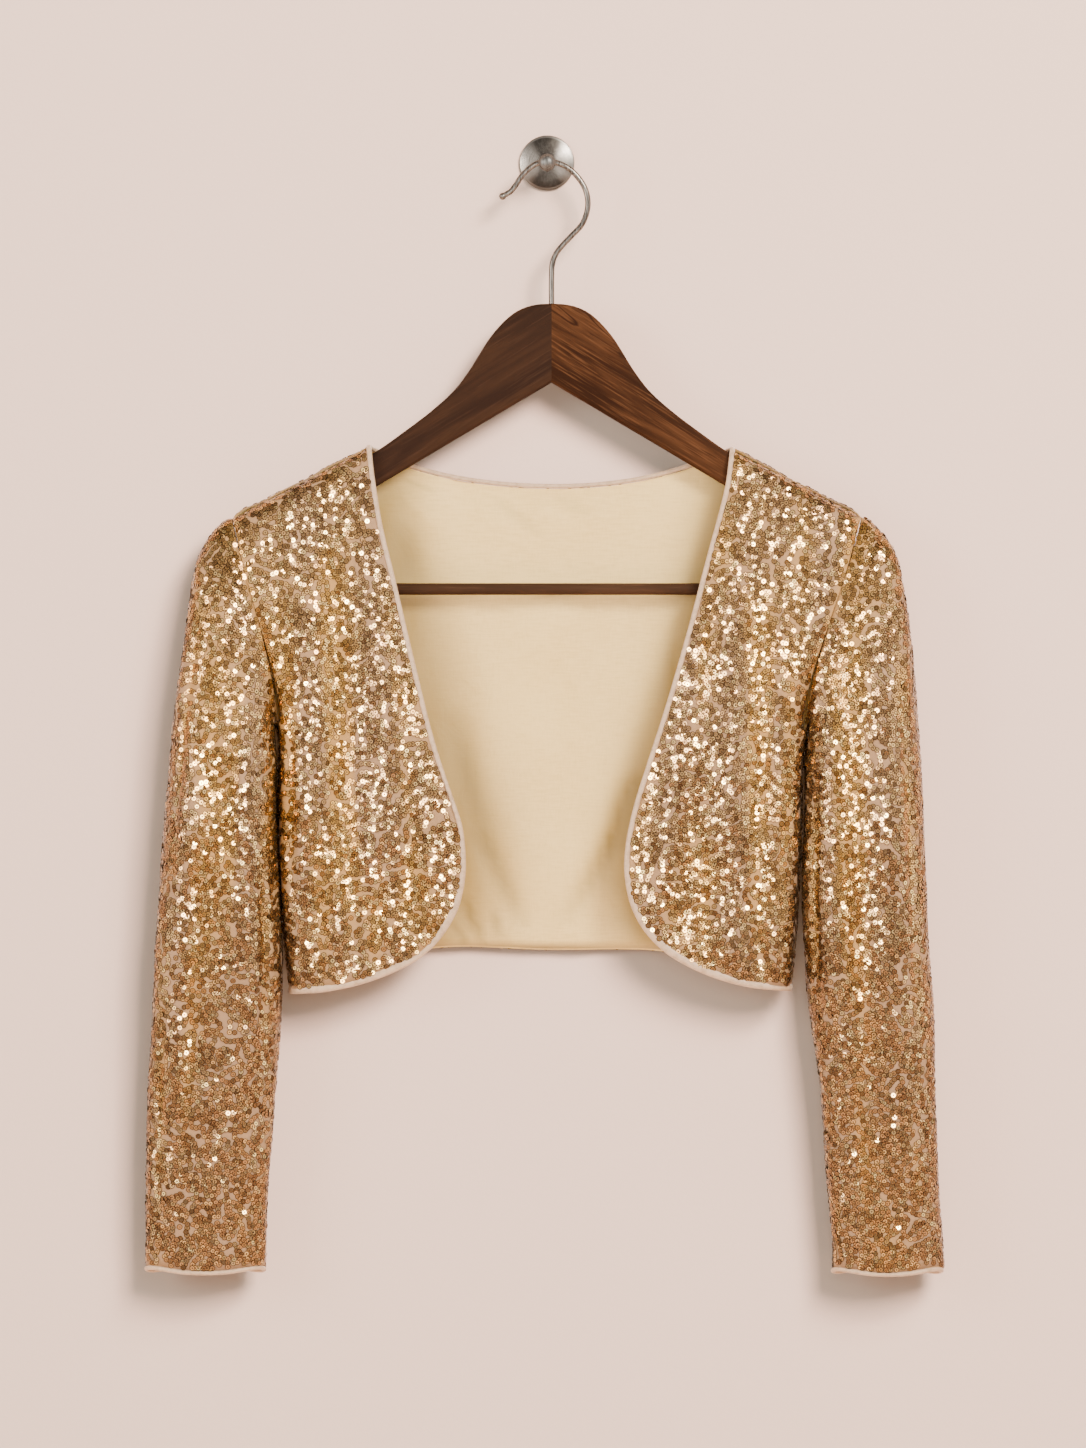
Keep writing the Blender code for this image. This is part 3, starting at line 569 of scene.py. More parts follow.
# Creases that the back's lining shows through the open front
LINING_CREASES = table_of(
    Fold, (-66, -375, -38, -485, 9, 1.7), (-46, -462, -15, -532, 7, 2),
    (62, -422, 44, -480, 9, 1.6), (50, -460, 11, -530, 8, 2.1), (-59, -506, -44, -542, 3.5, 2.2),
    (-38, -514, -29, -547, 3, 1.9), (-64, -526, -54, -548, 2.5, 1.5),
    (-2, -532, 19, -527, 2.5, -1.2), (-100, -248, -94, -292, 10, 1.1),
    (-98, -231, -74, -253, 2.5, -1.2), (-102, -220, -69, -231, 2.5, 1.2),
    (-39, -229, -4, -260, 6, 1), (-50, -237, -18, -264, 6, -1), (29, -243, 67, -254, 3, -1.3),
    (5, -227, 27, -247, 8, 0.9),
)
BACK_NECK = table_of(
    Point, (-124.4, -199.4), (-96.6, -211.8), (-51.9, -222.5), (0.4, -226.4), (35.2, -225.3),
    (66.9, -220.9), (97, -212.9), (129.4, -200.7),
)
BACK_HEM = table_of(
    Point, (-177.2, -571.5), (-140, -557), (-75, -544), (0, -545.5), (75, -546), (135, -556),
    (168.3, -569.5),
)


def fold_relief(folds: Iterable[Fold], x: Array, z: Array) -> Array:
    """Works out how far folds move the cloth: along +Y on a body panel, inwards on a sleeve.

    Args:
        folds: the folds of one panel.
        x: where each point is across the panel, or its share of a turn round a sleeve.
        z: how high each point is.

    Returns:
        The move at each point, in millimetres.
    """
    relief = np.zeros(np.broadcast(x, z).shape)
    for fold in folds:
        down = np.clip((z - fold.top_z) / (fold.bottom_z - fold.top_z), 0.0, 1.0)
        middle = fold.top_x + (fold.bottom_x - fold.top_x) * down
        across = bell((x - middle) / fold.half_width)
        relief += fold.depth * across * np.sin(math.pi * down) ** CUT.fold_fullness
    return relief


def ring_frame(ring: Sequence[float]) -> tuple[Array, float, float, Array, Array]:
    """Measures a ring of a sleeve.

    Args:
        ring: the ring's row.

    Returns:
        Its middle, half chord, half depth, and its ways outwards and to the body.
    """
    outer_x, outer_z, inner_x, inner_z, front_y, back_y = ring
    middle_y = (front_y + back_y) / 2
    outer = np.array([outer_x, middle_y, outer_z])
    inner = np.array([inner_x, middle_y, inner_z])
    half_chord = float(np.linalg.norm(outer - inner)) / 2
    outward = unit(outer - inner)
    to_body = np.array([outward[2], 0.0, -outward[0]]) * -np.sign(outer_x)
    return (outer + inner) / 2, half_chord, (back_y - front_y) / 2, outward, to_body


def ring_points(ring: Sequence[float], angles: Array, bow: float, squareness: float) -> Line:
    """Finds points round a sleeve ring.

    Args:
        ring: the ring's sizes.
        angles: where the points are: 0 is the outer end, a quarter turn the front.
        bow: how far the front bends towards the body.
        squareness: 2 for an ellipse, more for a fuller section.

    Returns:
        The points, one in each row.
    """
    middle, half_chord, half_depth, outward, to_body = ring_frame(ring)
    cosines = np.sign(np.cos(angles)) * np.abs(np.cos(angles)) ** (2 / squareness)
    sines = np.sign(np.sin(angles)) * np.abs(np.sin(angles)) ** (2 / squareness)
    bowed = bow * np.maximum(np.sin(angles), 0.0) * (1 - np.cos(angles)) / CUT.bow_peak
    return (
        middle
        + half_chord * cosines[:, None] * outward
        + half_depth * sines[:, None] * FRONT
        + bowed[:, None] * to_body
    )


def armhole_seam(side: SideShape, angles: Array) -> tuple[Line, Array, Array]:
    """Places points round the armhole seam.

    Args:
        side: the wearer's side.
        angles: where each point is round it.

    Returns:
        The points, the outward ways there, and the way to the body.
    """
    _, half_chord, half_depth, outward, to_body = ring_frame(side.rings[0])
    cosines, sines = np.cos(angles)[:, None], np.sin(angles)[:, None]
    normals = unit(cosines * outward / half_chord + sines * FRONT / half_depth)
    return ring_points(side.rings[0], angles, side.bow, ROUND), normals, to_body


def side_edge(side: SideShape, facing: Facing) -> tuple[Line, Array]:
    """Joins the armhole and the side seam into one edge of a panel.

    Args:
        side: the wearer's side.
        facing: which way the panel faces.

    Returns:
        The edge's points and their outward ways.
    """
    angles = np.linspace(0.0, math.pi, CUT.armhole_rows + 1) * -facing.value
    armhole, normals, to_body = armhole_seam(side, angles)
    armhole += to_body * CUT.seam_gap / 2
    shares = np.linspace(0, 1, CUT.side_rows + 1)[1:] ** CUT.side_row_power
    seam = at_shares(smooth_line(side.side_seam), shares)
    edge = np.vstack([armhole, stood(seam, CUT.armhole_y)])
    edge[:, 1] += facing.value * CUT.seam_gap / 2
    outward = np.tile([side.sign, 0.0, 0.0], (CUT.side_rows, 1))
    return edge, np.vstack([normals, outward])


def shoulder_edge(
    side: SideShape, facing: Facing, neck_point: Sequence[float], shares: Array
) -> tuple[Line, Array]:
    """Draws the shoulder seam.

    Args:
        side: the jacket's side.
        facing: the panel that the edge belongs to.
        neck_point: the seam's end at the neck, as x and z.
        shares: where the points are, from 0 at the neck to 1 at the armhole.

    Returns:
        The points and their outward ways.
    """
    top, normals, to_body = armhole_seam(side, np.zeros(1))
    neck = np.array([neck_point[0], CUT.shoulder_y, neck_point[1]])
    end = top[0] + to_body * CUT.seam_gap / 2
    shares = shares[:, None]
    points = neck + (end - neck) * shares
    points[:, 1] += facing.value * CUT.seam_gap / 2
    along = unit(end - neck)
    upright = np.array([along[2], 0.0, -along[0]]) * -side.sign
    return points, unit(upright * (1 - shares) + normals[0] * shares)


def coons(left: Line, right: Line, top: Line, bottom: Line, u: Array, v: Array) -> Array:
    """Blends four edge lines into a grid of points, rows down and columns across.

    Args:
        left: the edge down the left.
        right: the edge down the right.
        top: the edge across the top.
        bottom: the edge across the bottom.
        u: each column's share across.
        v: each row's share down.

    Returns:
        The grid.
    """
    u = u[None, :, None]
    v = v[:, None, None]
    across = (1 - u) * left[:, None] + u * right[:, None]
    down = (1 - v) * top[None] + v * bottom[None]
    corners = (
        (1 - u) * (1 - v) * top[0]
        + u * (1 - v) * top[-1]
        + (1 - u) * v * bottom[0]
        + u * v * bottom[-1]
    )
    return across + down - corners


def depth_at(depths: Iterable[Depth], z: Array, share: Array) -> Array:
    """Finds a panel's y at a height, from its side (share 0) to its edge (share 1).

    Args:
        depths: the panel's depths, from the top down.
        z: the heights.
        share: how far across the panel.

    Returns:
        The y at each height.
    """
    table = np.array(depths)[::-1]
    side_y = np.interp(z, table[:, 0], table[:, 1])
    edge_y = np.interp(z, table[:, 0], table[:, 2])
    return side_y + (edge_y - side_y) * share


def edged(y: Array, drop: Array, inset: Array, arch: Array, top_y: Array, left_y: Array) -> Array:
    """Bends a sheet's depths to its shoulder and side edges, each over a rounded turn.

    Args:
        y: the sheet's depths away from its edges.
        drop: each point's distance below the top edge.
        inset: each point's distance from the side edge.
        arch: how wide the turn at the top is.
        top_y: the top edge's depths.
        left_y: the side edge's depths.

    Returns:
        The bent depths.
    """
    by_top = 1.0 - rounded(drop, arch)
    by_left = 1.0 - rounded(inset, CUT.side_turn)
    to_top = top_y[None, :] - y
    to_left = left_y[:, None] - y
    to_corner = top_y[0] - y
    return y + by_top * to_top + by_left * to_left - by_top * by_left * to_corner


def front_cloth(side: SideShape) -> Cloth:
    """Shapes one front: rows go down, columns from the side to the open edge.

    Args:
        side: the wearer's side.

    Returns:
        The front's sheet.
    """
    line = smooth_line(side.edge)
    along = unit(np.gradient(line, axis=0))
    inward = np.stack([-along[:, 1], along[:, 0]], axis=-1) * side.sign
    panel_edge = line + inward * (2 * CUT.binding_radius + CUT.seam_gap)
    u = np.linspace(0.0, 1.0, CUT.front_columns + 1) ** CUT.front_column_power
    left, left_normals = side_edge(side, Facing.FRONT)
    row_shares = np.hypot(np.arange(CUT.rows + 1) / CUT.rows, CUT.neck_row_bunching)
    row_shares = (row_shares - row_shares[0]) / (row_shares[-1] - row_shares[0])
    right = stood(at_shares(panel_edge, row_shares * CUT.hem_turn_share))
    bottom = stood(at_shares(panel_edge, 1 - (1 - CUT.hem_turn_share) * u))
    top, top_normals = shoulder_edge(side, Facing.FRONT, right[0, [0, 2]], 1 - u)
    left[-1, [0, 2]] = bottom[0, [0, 2]]
    down_left = lengths_along(left[:, [0, 2]])
    grid = coons(left, right, top, bottom, u, (down_left / down_left[-1] + row_shares) / 2)
    share = np.tile(u, (CUT.rows + 1, 1))
    y = depth_at(FRONT_DEPTHS, grid[..., 2], share)
    y += fold_relief(side.front_folds, grid[..., 0], grid[..., 2])
    arch = CUT.arm_arch + (CUT.shoulder_arch - CUT.arm_arch) * share
    grid[..., 1] = edged(y, distances(grid, 0), distances(grid, 1), arch, top[:, 1], left[:, 1])
    cloth = Cloth(grid, np.broadcast_to(FRONT, grid.shape)).with_true_normals()
    cloth.normals[:, 0] = left_normals
    cloth.normals[0] = top_normals
    return cloth


def back_neck(right_end: Sequence[float], left_end: Sequence[float]) -> Line:
    """Draws the back's neck edge between the shoulder seams, down behind the hanger's arms.

    Args:
        right_end: where the right shoulder seam ends.
        left_end: where the left one ends.

    Returns:
        The points between the ends.
    """
    shares = 0.5 - 0.5 * np.cos(np.linspace(0.0, math.pi, CUT.neck_columns + 1)[1:-1])
    neck = stood(at_shares(smooth_line(BACK_NECK), shares))
    from_end = np.minimum(neck[:, 0] - right_end[0], left_end[0] - neck[:, 0])
    over_arm = (CUT.neck_behind_arm_y - CUT.shoulder_y) * rounded(from_end, CUT.neck_turn)
    hollow = CUT.neck_hollow * rounded(from_end, CUT.neck_hollow_width)
    neck[:, 1] = CUT.shoulder_y + over_arm + hollow
    return neck


def back_cloth(neck_right: Sequence[float], neck_left: Sequence[float]) -> Cloth:
    """Shapes the back.

    Args:
        neck_right: where the right front's shoulder seam meets the neck, as x and z.
        neck_left: the same on the left.

    Returns:
        The back: columns run from the wearer's right to the left.
    """
    first, first_normals = side_edge(RIGHT, Facing.BACK)
    last, last_normals = side_edge(LEFT, Facing.BACK)
    outward = 1 - np.linspace(1.0, 0.0, CUT.shoulder_columns + 1) ** CUT.back_column_power
    shoulder_right, up_right = shoulder_edge(RIGHT, Facing.BACK, neck_right, outward)
    shoulder_left, up_left = shoulder_edge(LEFT, Facing.BACK, neck_left, outward)
    top = np.vstack([shoulder_right[::-1], back_neck(neck_right, neck_left), shoulder_left])
    u = lengths_along(top[:, [0, 2]])
    u = u / u[-1]
    bottom = stood(at_shares(smooth_line(BACK_HEM), u))
    down = [distances(edge, 0) for edge in (first, last)]
    v = (down[0] / down[0][-1] + down[1] / down[1][-1]) / 2
    grid = coons(first, last, top, bottom, u, v)
    middle_share = 1.0 - np.abs(2 * np.tile(u, (CUT.rows + 1, 1)) - 1.0)
    y = depth_at(BACK_DEPTHS, grid[..., 2], middle_share)
    y += fold_relief(BACK_FOLDS, grid[..., 0], grid[..., 2])
    arch = np.full(grid.shape[:2], CUT.shoulder_arch)
    arch[:, CUT.shoulder_columns + 1 : -CUT.shoulder_columns - 1] = CUT.neck_arch
    drop = distances(grid, 0)
    inset = distances(grid, 1)
    from_last = inset[:, -1:] - inset[:, ::-1]
    right_half = edged(y, drop, inset, arch, top[:, 1], first[:, 1])
    left_half = edged(y[:, ::-1], drop[:, ::-1], from_last, arch[:, ::-1], top[::-1, 1], last[:, 1])
    is_right = np.arange(len(u)) < len(u) // 2
    grid[..., 1] = np.where(is_right, right_half, left_half[:, ::-1])
    cloth = Cloth(grid, np.broadcast_to(-FRONT, grid.shape)).with_true_normals()
    cloth.normals[:, 0] = first_normals
    cloth.normals[:, -1] = last_normals
    cloth.normals[0, : CUT.shoulder_columns + 1] = up_right[::-1]
    cloth.normals[0, -CUT.shoulder_columns - 1 :] = up_left
    return cloth


def sleeve_cloth(side: SideShape) -> Cloth:
    """Shapes one sleeve: rows are rings from the armhole to the cuff.

    Args:
        side: the wearer's side.

    Returns:
        The sleeve's sheet.
    """
    rows = np.arange(CUT.sleeve_rings + 1)
    angles = round_angles(2 * CUT.armhole_rows)
    rings = at_shares(smooth_line(side.rings), (rows / CUT.sleeve_rings) ** CUT.sleeve_ring_power)
    bow = np.clip(1.0 - rows / CUT.bow_rings, 0.0, 1.0)
    squareness = ROUND + (CUT.cuff_squareness - ROUND) * (1.0 - bow)
    grid = np.stack(
        [ring_points(ring, angles, side.bow * b, s) for ring, b, s in zip(rings, bow, squareness)]
    )
    _, seam_normals, to_body = armhole_seam(side, angles)
    grid[0] -= to_body * CUT.seam_gap / 2
    near_cuff = np.clip(1.0 - (CUT.sleeve_rings - rows) / CUT.cuff_wave_rings, 0.0, 1.0)
    grid[..., 2] += CUT.cuff_wave * near_cuff[:, None] * np.sin(CUT.cuff_waves * angles)[None, :]
    middles = grid.mean(axis=1, keepdims=True)
    cloth = Cloth(grid, unit(grid - middles), closed=True).with_true_normals()
    relief = fold_relief(side.creases, angles / FULL_TURN, grid[..., 2])
    cloth = cloth.moved(-relief).with_true_normals()
    cloth.normals[0] = seam_normals
    return cloth


def operator(operation: str, swapped: bool = False) -> Callable[["Value", Any], "Value"]:
    """Makes an operator of shader values that adds one Math node.

    Args:
        operation: the node's operation.
        swapped: whether the other value comes first.

    Returns:
        The operator.
    """

    def method(value: "Value", other: Any) -> "Value":
        """Adds the node and returns its output."""
        ends = (other, value) if swapped else (value, other)
        return value.shader.node("ShaderNodeMath", {"operation": operation}, dict(enumerate(ends)))

    return method


class Value:
    """A shader value, so that maths on it reads as an expression."""

    __add__ = operator("ADD")
    __radd__ = operator("ADD", swapped=True)
    __sub__ = operator("SUBTRACT")
    __rsub__ = operator("SUBTRACT", swapped=True)
    __mul__ = operator("MULTIPLY")
    __rmul__ = operator("MULTIPLY", swapped=True)
    __truediv__ = operator("DIVIDE")
    __or__ = operator("MAXIMUM")

    def __init__(self, shader: "Shader", socket: NodeSocket) -> None:
        """Keeps the output socket and the shader that it belongs to."""
        self.shader = shader
        self.socket = socket

    def step(self, low: float, high: float) -> "Value":
        """Goes softly from 0 at low to 1 at high."""
        settings = {"interpolation_type": "SMOOTHSTEP"}
        return self.shader.node(
            "ShaderNodeMapRange", settings, {"Value": self, "From Min": low, "From Max": high}
        )


class Shader:
    """Builds the nodes of one material, or of the room's light."""

    def __init__(self, owner: Material | World) -> None:
        """Clears the owner's nodes.

        Args:
            owner: what has the nodes.
        """
        owner.use_nodes = True
        self.owner = owner
        self.tree = owner.node_tree
        self.tree.nodes.clear()

    @classmethod
    def named(cls, name: str) -> "Shader":
        """Starts an empty material."""
        return cls(bpy.data.materials.new(name))

    def raw(self, kind: str, settings: Mapping[str, Any], inputs: Mapping[Any, Any]) -> Node:
        """Adds a node.

        Args:
            kind: the node's type.
            settings: its properties, set first.
            inputs: values or links for its sockets, by name or place.

        Returns:
            The node.
        """
        made = self.tree.nodes.new(kind)
        for key, value in settings.items():
            setattr(made, key, value)
        for key, value in inputs.items():
            if isinstance(value, Value):
                self.tree.links.new(value.socket, made.inputs[key])
            else:
                made.inputs[key].default_value = value
        return made

    def node(
        self,
        kind: str,
        settings: Mapping[str, Any],
        inputs: Mapping[Any, Any],
        output: int | str = 0,
    ) -> Value:
        """Adds a node and returns one of its outputs."""
        return Value(self, self.raw(kind, settings, inputs).outputs[output])

    def place(self, scale: Triple = (1.0, 1.0, 1.0), turn: Triple = (0.0, 0.0, 0.0)) -> Value:
        """Reads object coordinates, turned and then scaled.

        Args:
            scale: the factor along each axis.
            turn: the turn about each.

        Returns:
            The coordinates.
        """
        here = self.node("ShaderNodeTexCoord", {}, {}, "Object")
        turned = self.node("ShaderNodeMapping", {}, {"Vector": here, "Rotation": turn})
        return self.node("ShaderNodeMapping", {}, {"Vector": turned, "Scale": scale})

    def part(self, vector: Value, axis: str) -> Value:
        """Returns one coordinate of a vector."""
        return self.node("ShaderNodeSeparateXYZ", {}, {"Vector": vector}, axis)

    def noise(
        self, place: Value, scale: float, detail: float = 2.0, distortion: float = 0.0
    ) -> Value:
        """Returns noise from 0 to 1."""
        inputs = {"Vector": place, "Scale": scale, "Detail": detail, "Distortion": distortion}
        return self.node("ShaderNodeTexNoise", {}, inputs)

    def bands(self, place: Value, scale: float, direction: str, distortion: float = 0.0) -> Value:
        """Makes sine bands.

        Args:
            place: the coordinates.
            scale: how close the bands are.
            direction: what they cross: X, Y, Z or DIAGONAL.
            distortion: how far they waver.

        Returns:
            Their height, from 0 to 1.
        """
        settings = {"wave_type": "BANDS", "bands_direction": direction, "wave_profile": "SIN"}
        inputs = {"Vector": place, "Scale": scale, "Distortion": distortion, "Detail": 1.0}
        return self.node("ShaderNodeTexWave", settings, inputs, "Fac")

    def attribute(self, name: str) -> Value:
        """Returns a number that the mesh holds at each point."""
        return self.node("ShaderNodeAttribute", {"attribute_name": name}, {}, "Fac")

    def mix(self, first: Any, second: Any, share: Any) -> Value:
        """Mixes two colours, each a value or three numbers.

        Args:
            first: the colour at 0.
            second: the colour at 1.
            share: how much of the second.

        Returns:
            The colour.
        """
        ends = [end if isinstance(end, Value) else (*end, 1.0) for end in (first, second)]
        inputs = {0: share, 6: ends[0], 7: ends[1]}
        return self.node("ShaderNodeMix", {"data_type": "RGBA"}, inputs, 2)

    def bump(self, height: Value, strength: float, distance: float) -> Value:
        """Returns normals bent by a height."""
        inputs = {"Height": height, "Strength": strength, "Distance": distance}
        return self.node("ShaderNodeBump", {}, inputs)

    def principled(self, **sockets: Any) -> Value:
        """Adds a Principled BSDF.

        Args:
            sockets: its inputs, with an underscore for each space.

        Returns:
            The surface.
        """
        inputs = {}
        for key, value in sockets.items():
            plain = isinstance(value, tuple) and len(value) == 3
            inputs[key.replace("_", " ")] = (*value, 1.0) if plain else value
        return self.node("ShaderNodeBsdfPrincipled", {}, inputs)

    def output(self, surface: Value) -> Material:
        """Feeds the output with a surface and returns the material."""
        self.raw("ShaderNodeOutputMaterial", {}, {"Surface": surface})
        return self.owner

    def finish(self, **sockets: Any) -> Material:
        """Feeds the output with a Principled BSDF of these inputs and returns the material."""
        return self.output(self.principled(**sockets))


@dataclass(frozen=True)
class SequinFinish:
    """Pale gold sequins, painted dark at the rim and round the hole as shade, some with a painted
    pale glint, in warmer and rosier places.
    """

    rose: Colour = (0.46, 0.257, 0.108)
    gold: Colour = (0.65, 0.33, 0.072)
    pale: Colour = (0.86, 0.59, 0.24)
    rim: Colour = (0.046, 0.02, 0.009)

    def material(self) -> Material:
        """Builds the sequins' material.

        Returns:
            The material.
        """
        shader = Shader.named("gold_sequins")
        disc = shader.attribute("disc")
        tone = shader.attribute("tone")
        warm = shader.attribute("warm")
        body = shader.mix(self.rose, self.gold, warm)
        # The tone darkens some sequins at random, and at its top end paints a pale glint on others.
        body = shader.mix(body, self.rim, (1 - tone.step(0.0, 0.5)) * 0.6)
        body = shader.mix(body, self.pale, tone.step(0.6, 1.0) * 0.7)
        # Painted shade: a dark band at each sequin's edge and round its hole.
        edge = disc.step(0.68, 0.82) | (1 - disc.step(0.28, 0.38))
        colour = shader.mix(body, self.rim, edge * 0.95)
        return shader.finish(
            Base_Color=colour, Metallic=0.85, Roughness=0.1 + 0.1 * shader.attribute("haze")
        )


@dataclass(frozen=True)
class NetFinish:
    """The fine net that the sequins are sewn to, over a rosy backing painted gold in troughs as
    shade and in random streaks.
    """

    rose: Colour = (0.345, 0.198, 0.098)
    gold: Colour = (0.48, 0.25, 0.066)
    thread: Colour = (0.2, 0.095, 0.035)

    def material(self) -> Material:
        """Builds the net's material.

        Returns:
            The material.
        """
        shader = Shader.named("sequin_net")
        place = shader.place()
        weave = shader.bands(place, 420.0, "DIAGONAL", 1.2) * shader.bands(place, 390.0, "Z", 1.2)
        clouds = shader.noise(place, 60.0, 3.0)
        body = shader.mix(self.rose, self.gold, shader.attribute("warm"))
        colour = shader.mix(body, self.thread, weave * 0.35 + (clouds - 0.5) * 0.5)
        return shader.finish(
            Base_Color=colour,
            Roughness=0.52 + 0.2 * weave,
            Metallic=0.15,
            Sheen_Weight=0.1,
            Normal=shader.bump(weave, 0.5, 0.0003),
        )


@dataclass(frozen=True)
class LiningFinish:
    """Cream satin lining with soft slubs and faint crinkles, painted shade by the fronts and in
    creases, and a dark hem line.
    """

    cream: Colour = (0.93, 0.655, 0.235)
    shade: Colour = (0.81, 0.545, 0.175)
    painted_shade_and_hem_line: Colour = (0.34, 0.22, 0.045)

    def material(self) -> Material:
        """Builds the lining's material.

        Returns:
            The material.
        """
        shader = Shader.named("cream_lining")
        place = shader.place()
        slubs = shader.noise(shader.place((90.0, 90.0, 900.0)), 1.0, 3.0)
        threads = shader.noise(shader.place((1300.0, 1300.0, 160.0)), 1.0, 2.0)
        crinkles = shader.noise(place, 38.0, 4.0, 1.1)
        clouds = shader.noise(place, 11.0, 2.0)
        cover = slubs * 0.45 + threads * 0.25 + clouds * 0.3
        height = crinkles * 1.0 + slubs * 0.1 + threads * 0.06
        body = shader.mix(self.shade, self.cream, cover.step(0.3, 0.62))
        return shader.finish(
            # Mixes in the dark colour: painted shade beside the fronts and in creases, and a line
            # along the hem.
            Base_Color=shader.mix(body, self.painted_shade_and_hem_line, shader.attribute("shaded")),
            Roughness=0.4 + 0.18 * slubs,
            Sheen_Weight=0.35,
            Normal=shader.bump(height, 0.45, 0.0018),
        )


@dataclass(frozen=True)
class BindingFinish:
    """Pinkish beige satin binding, with faint puckers along its stitching."""

    beige: Colour = (0.6, 0.41, 0.26)
    shade: Colour = (0.45, 0.295, 0.175)

    def material(self) -> Material:
        """Builds the binding's material.

        Returns:
            The material.
        """
        shader = Shader.named("satin_binding")
        place = shader.place()
        puckers = shader.noise(place, 260.0, 2.0)
        threads = shader.noise(shader.place((700.0, 700.0, 1800.0)), 1.0, 2.0)
        cover = puckers * 0.6 + threads * 0.4
        return shader.finish(
            Base_Color=shader.mix(self.shade, self.beige, cover.step(0.3, 0.6)),
            Roughness=0.34 + 0.2 * threads,
            Sheen_Weight=0.12,
            Normal=shader.bump(puckers + threads * 0.3, 0.35, 0.0006),
        )


@dataclass(frozen=True)
class WalnutFinish:
    """Dark satin walnut whose grain runs along X after a turn about Y."""

    name: str
    grain_turn: float
    streaks: float
    darkness: float = 0.0
    dark: Colour = (0.022, 0.0078, 0.003)
    warm: Colour = (0.066, 0.024, 0.0085)
    light: Colour = (0.115, 0.043, 0.014)

    def material(self) -> Material:
        """Builds the wood's material.

        Returns:
            The material.
        """
        shader = Shader.named(self.name)
        turn = (0.0, self.grain_turn, 0.0)
        figure = shader.noise(shader.place((7.0, 40.0, 62.0), turn), 1.0, 3.0, 0.6)
        grain = shader.noise(shader.place((28.0, 900.0, 620.0), turn), 1.0, 4.0, 0.3)
        pores = shader.noise(shader.place((60.0, 1500.0, 1500.0), turn), 1.0, 1.0)
        body = shader.mix(self.dark, self.warm, figure.step(0.34, 0.62))
        body = shader.mix(body, self.light, grain.step(0.5, 0.75) * 0.55)
        vein = figure.step(0.53, 0.56) * (1 - figure.step(0.56, 0.6))
        body = shader.mix(body, self.dark, (vein * self.streaks) | (pores.step(0.6, 0.72) * 0.7))
        return shader.finish(
            Base_Color=shader.mix(body, self.dark, self.darkness),
            Roughness=0.5 + 0.16 * grain,
            Specular_IOR_Level=0.04,
            Normal=shader.bump(grain * 0.6 - pores.step(0.58, 0.72), 0.22, 0.0003),
        )


class Brushing(Enum):
    """Which way a metal's fine scratches run."""

    # Round the plate also paints the plate's reflection, rim highlight and lower shade.
    ROUND_THE_PLATE = "round"
    ALONG_THE_WIRE = "along"


@dataclass(frozen=True)
class SteelFinish:
    """Brushed stainless steel, with a painted reflection, highlight and shade on the plate."""

    name: str
    brushing: Brushing
    polish: float = 0.2
    bright: Colour = (0.32, 0.29, 0.26)
    dull: Colour = (0.05, 0.043, 0.037)
    painted_shade_black: Colour = (0.01, 0.009, 0.008)
    edge_tint: Colour = (0.3, 0.28, 0.26)
    rim: Span = (0.0172, 0.0179)

    def material(self) -> Material:
        """Builds the steel's material.

        Returns:
            The material.
        """
        shader = Shader.named(self.name)
        place = shader.place()
        if self.brushing is Brushing.ROUND_THE_PLATE:
            vector_maths = "ShaderNodeVectorMath"
            radius = shader.node(vector_maths, {"operation": "LENGTH"}, {0: place}, "Value")
            along = shader.node("ShaderNodeCombineXYZ", {}, {"X": radius * 2600.0, "Y": 0.3})
            scratches = shader.noise(along, 1.0, 3.0)
            # Painted reflection: bright sectors left and right of the plate's middle, with faint
            # radial streaks.
            across = shader.part(place, "X") / radius
            way = shader.node(vector_maths, {"operation": "NORMALIZE"}, {0: place})
            painted_radial_streaks = shader.noise(way, 9.0)
            cover = (across * across).step(0.18, 0.72) * 0.85 + painted_radial_streaks.step(0.35, 0.7) * 0.15
            # Painted highlight: a thin bright ring at the rim.
            cover = cover | (radius.step(*self.rim) * 0.8)
            # Painted shade: the lower sector darkens towards black.
            painted_lower_shade = (0 - shader.part(place, "Z") / radius).step(0.55, 0.95) * 0.62
            depth = 0.5
        else:
            scratches = shader.noise(shader.place((900.0, 900.0, 60.0)), 1.0, 3.0)
            cover = scratches.step(0.35, 0.65) * 0.6 + 0.15
            painted_lower_shade = 0.0
            depth = 0.15
        smudges = shader.noise(place, 55.0, 2.0)
        body = shader.mix(self.dull, self.bright, cover * 0.93 + smudges * 0.07)
        return shader.finish(
            Base_Color=shader.mix(body, self.painted_shade_black, painted_lower_shade),
            Metallic=1.0,
            Specular_Tint=self.edge_tint,
            Roughness=self.polish + 0.12 * scratches + 0.06 * smudges,
            Normal=shader.bump(scratches, depth, 0.0002),
        )


def deselect() -> None:
    """Leaves nothing selected, so that an operator acts on the new piece alone."""
    for obj in bpy.context.view_layer.objects:
        obj.select_set(False)


def choose(obj: Object) -> None:
    """Selects one object and makes it active.

    Args:
        obj: the object.
    """
    deselect()
    obj.select_set(True)
    bpy.context.view_layer.objects.active = obj


def apply_modifiers(obj: Object) -> None:
    """Applies all the modifiers of an object."""
    choose(obj)
    for modifier in list(obj.modifiers):
        bpy.ops.object.modifier_apply(modifier=modifier.name)

@contextmanager
def edit_mode(obj: Object) -> Iterator[None]:
    """Opens an object with its whole mesh selected, and turns its faces out after the edits.

    Args:
        obj: the object.

    Yields:
        Nothing, while the mesh is open.
    """
    choose(obj)
    bpy.ops.object.mode_set(mode="EDIT")
    bpy.ops.mesh.select_all(action="SELECT")
    yield
    bpy.ops.mesh.select_all(action="SELECT")
    bpy.ops.mesh.normals_make_consistent(inside=False)
    bpy.ops.object.mode_set(mode="OBJECT")


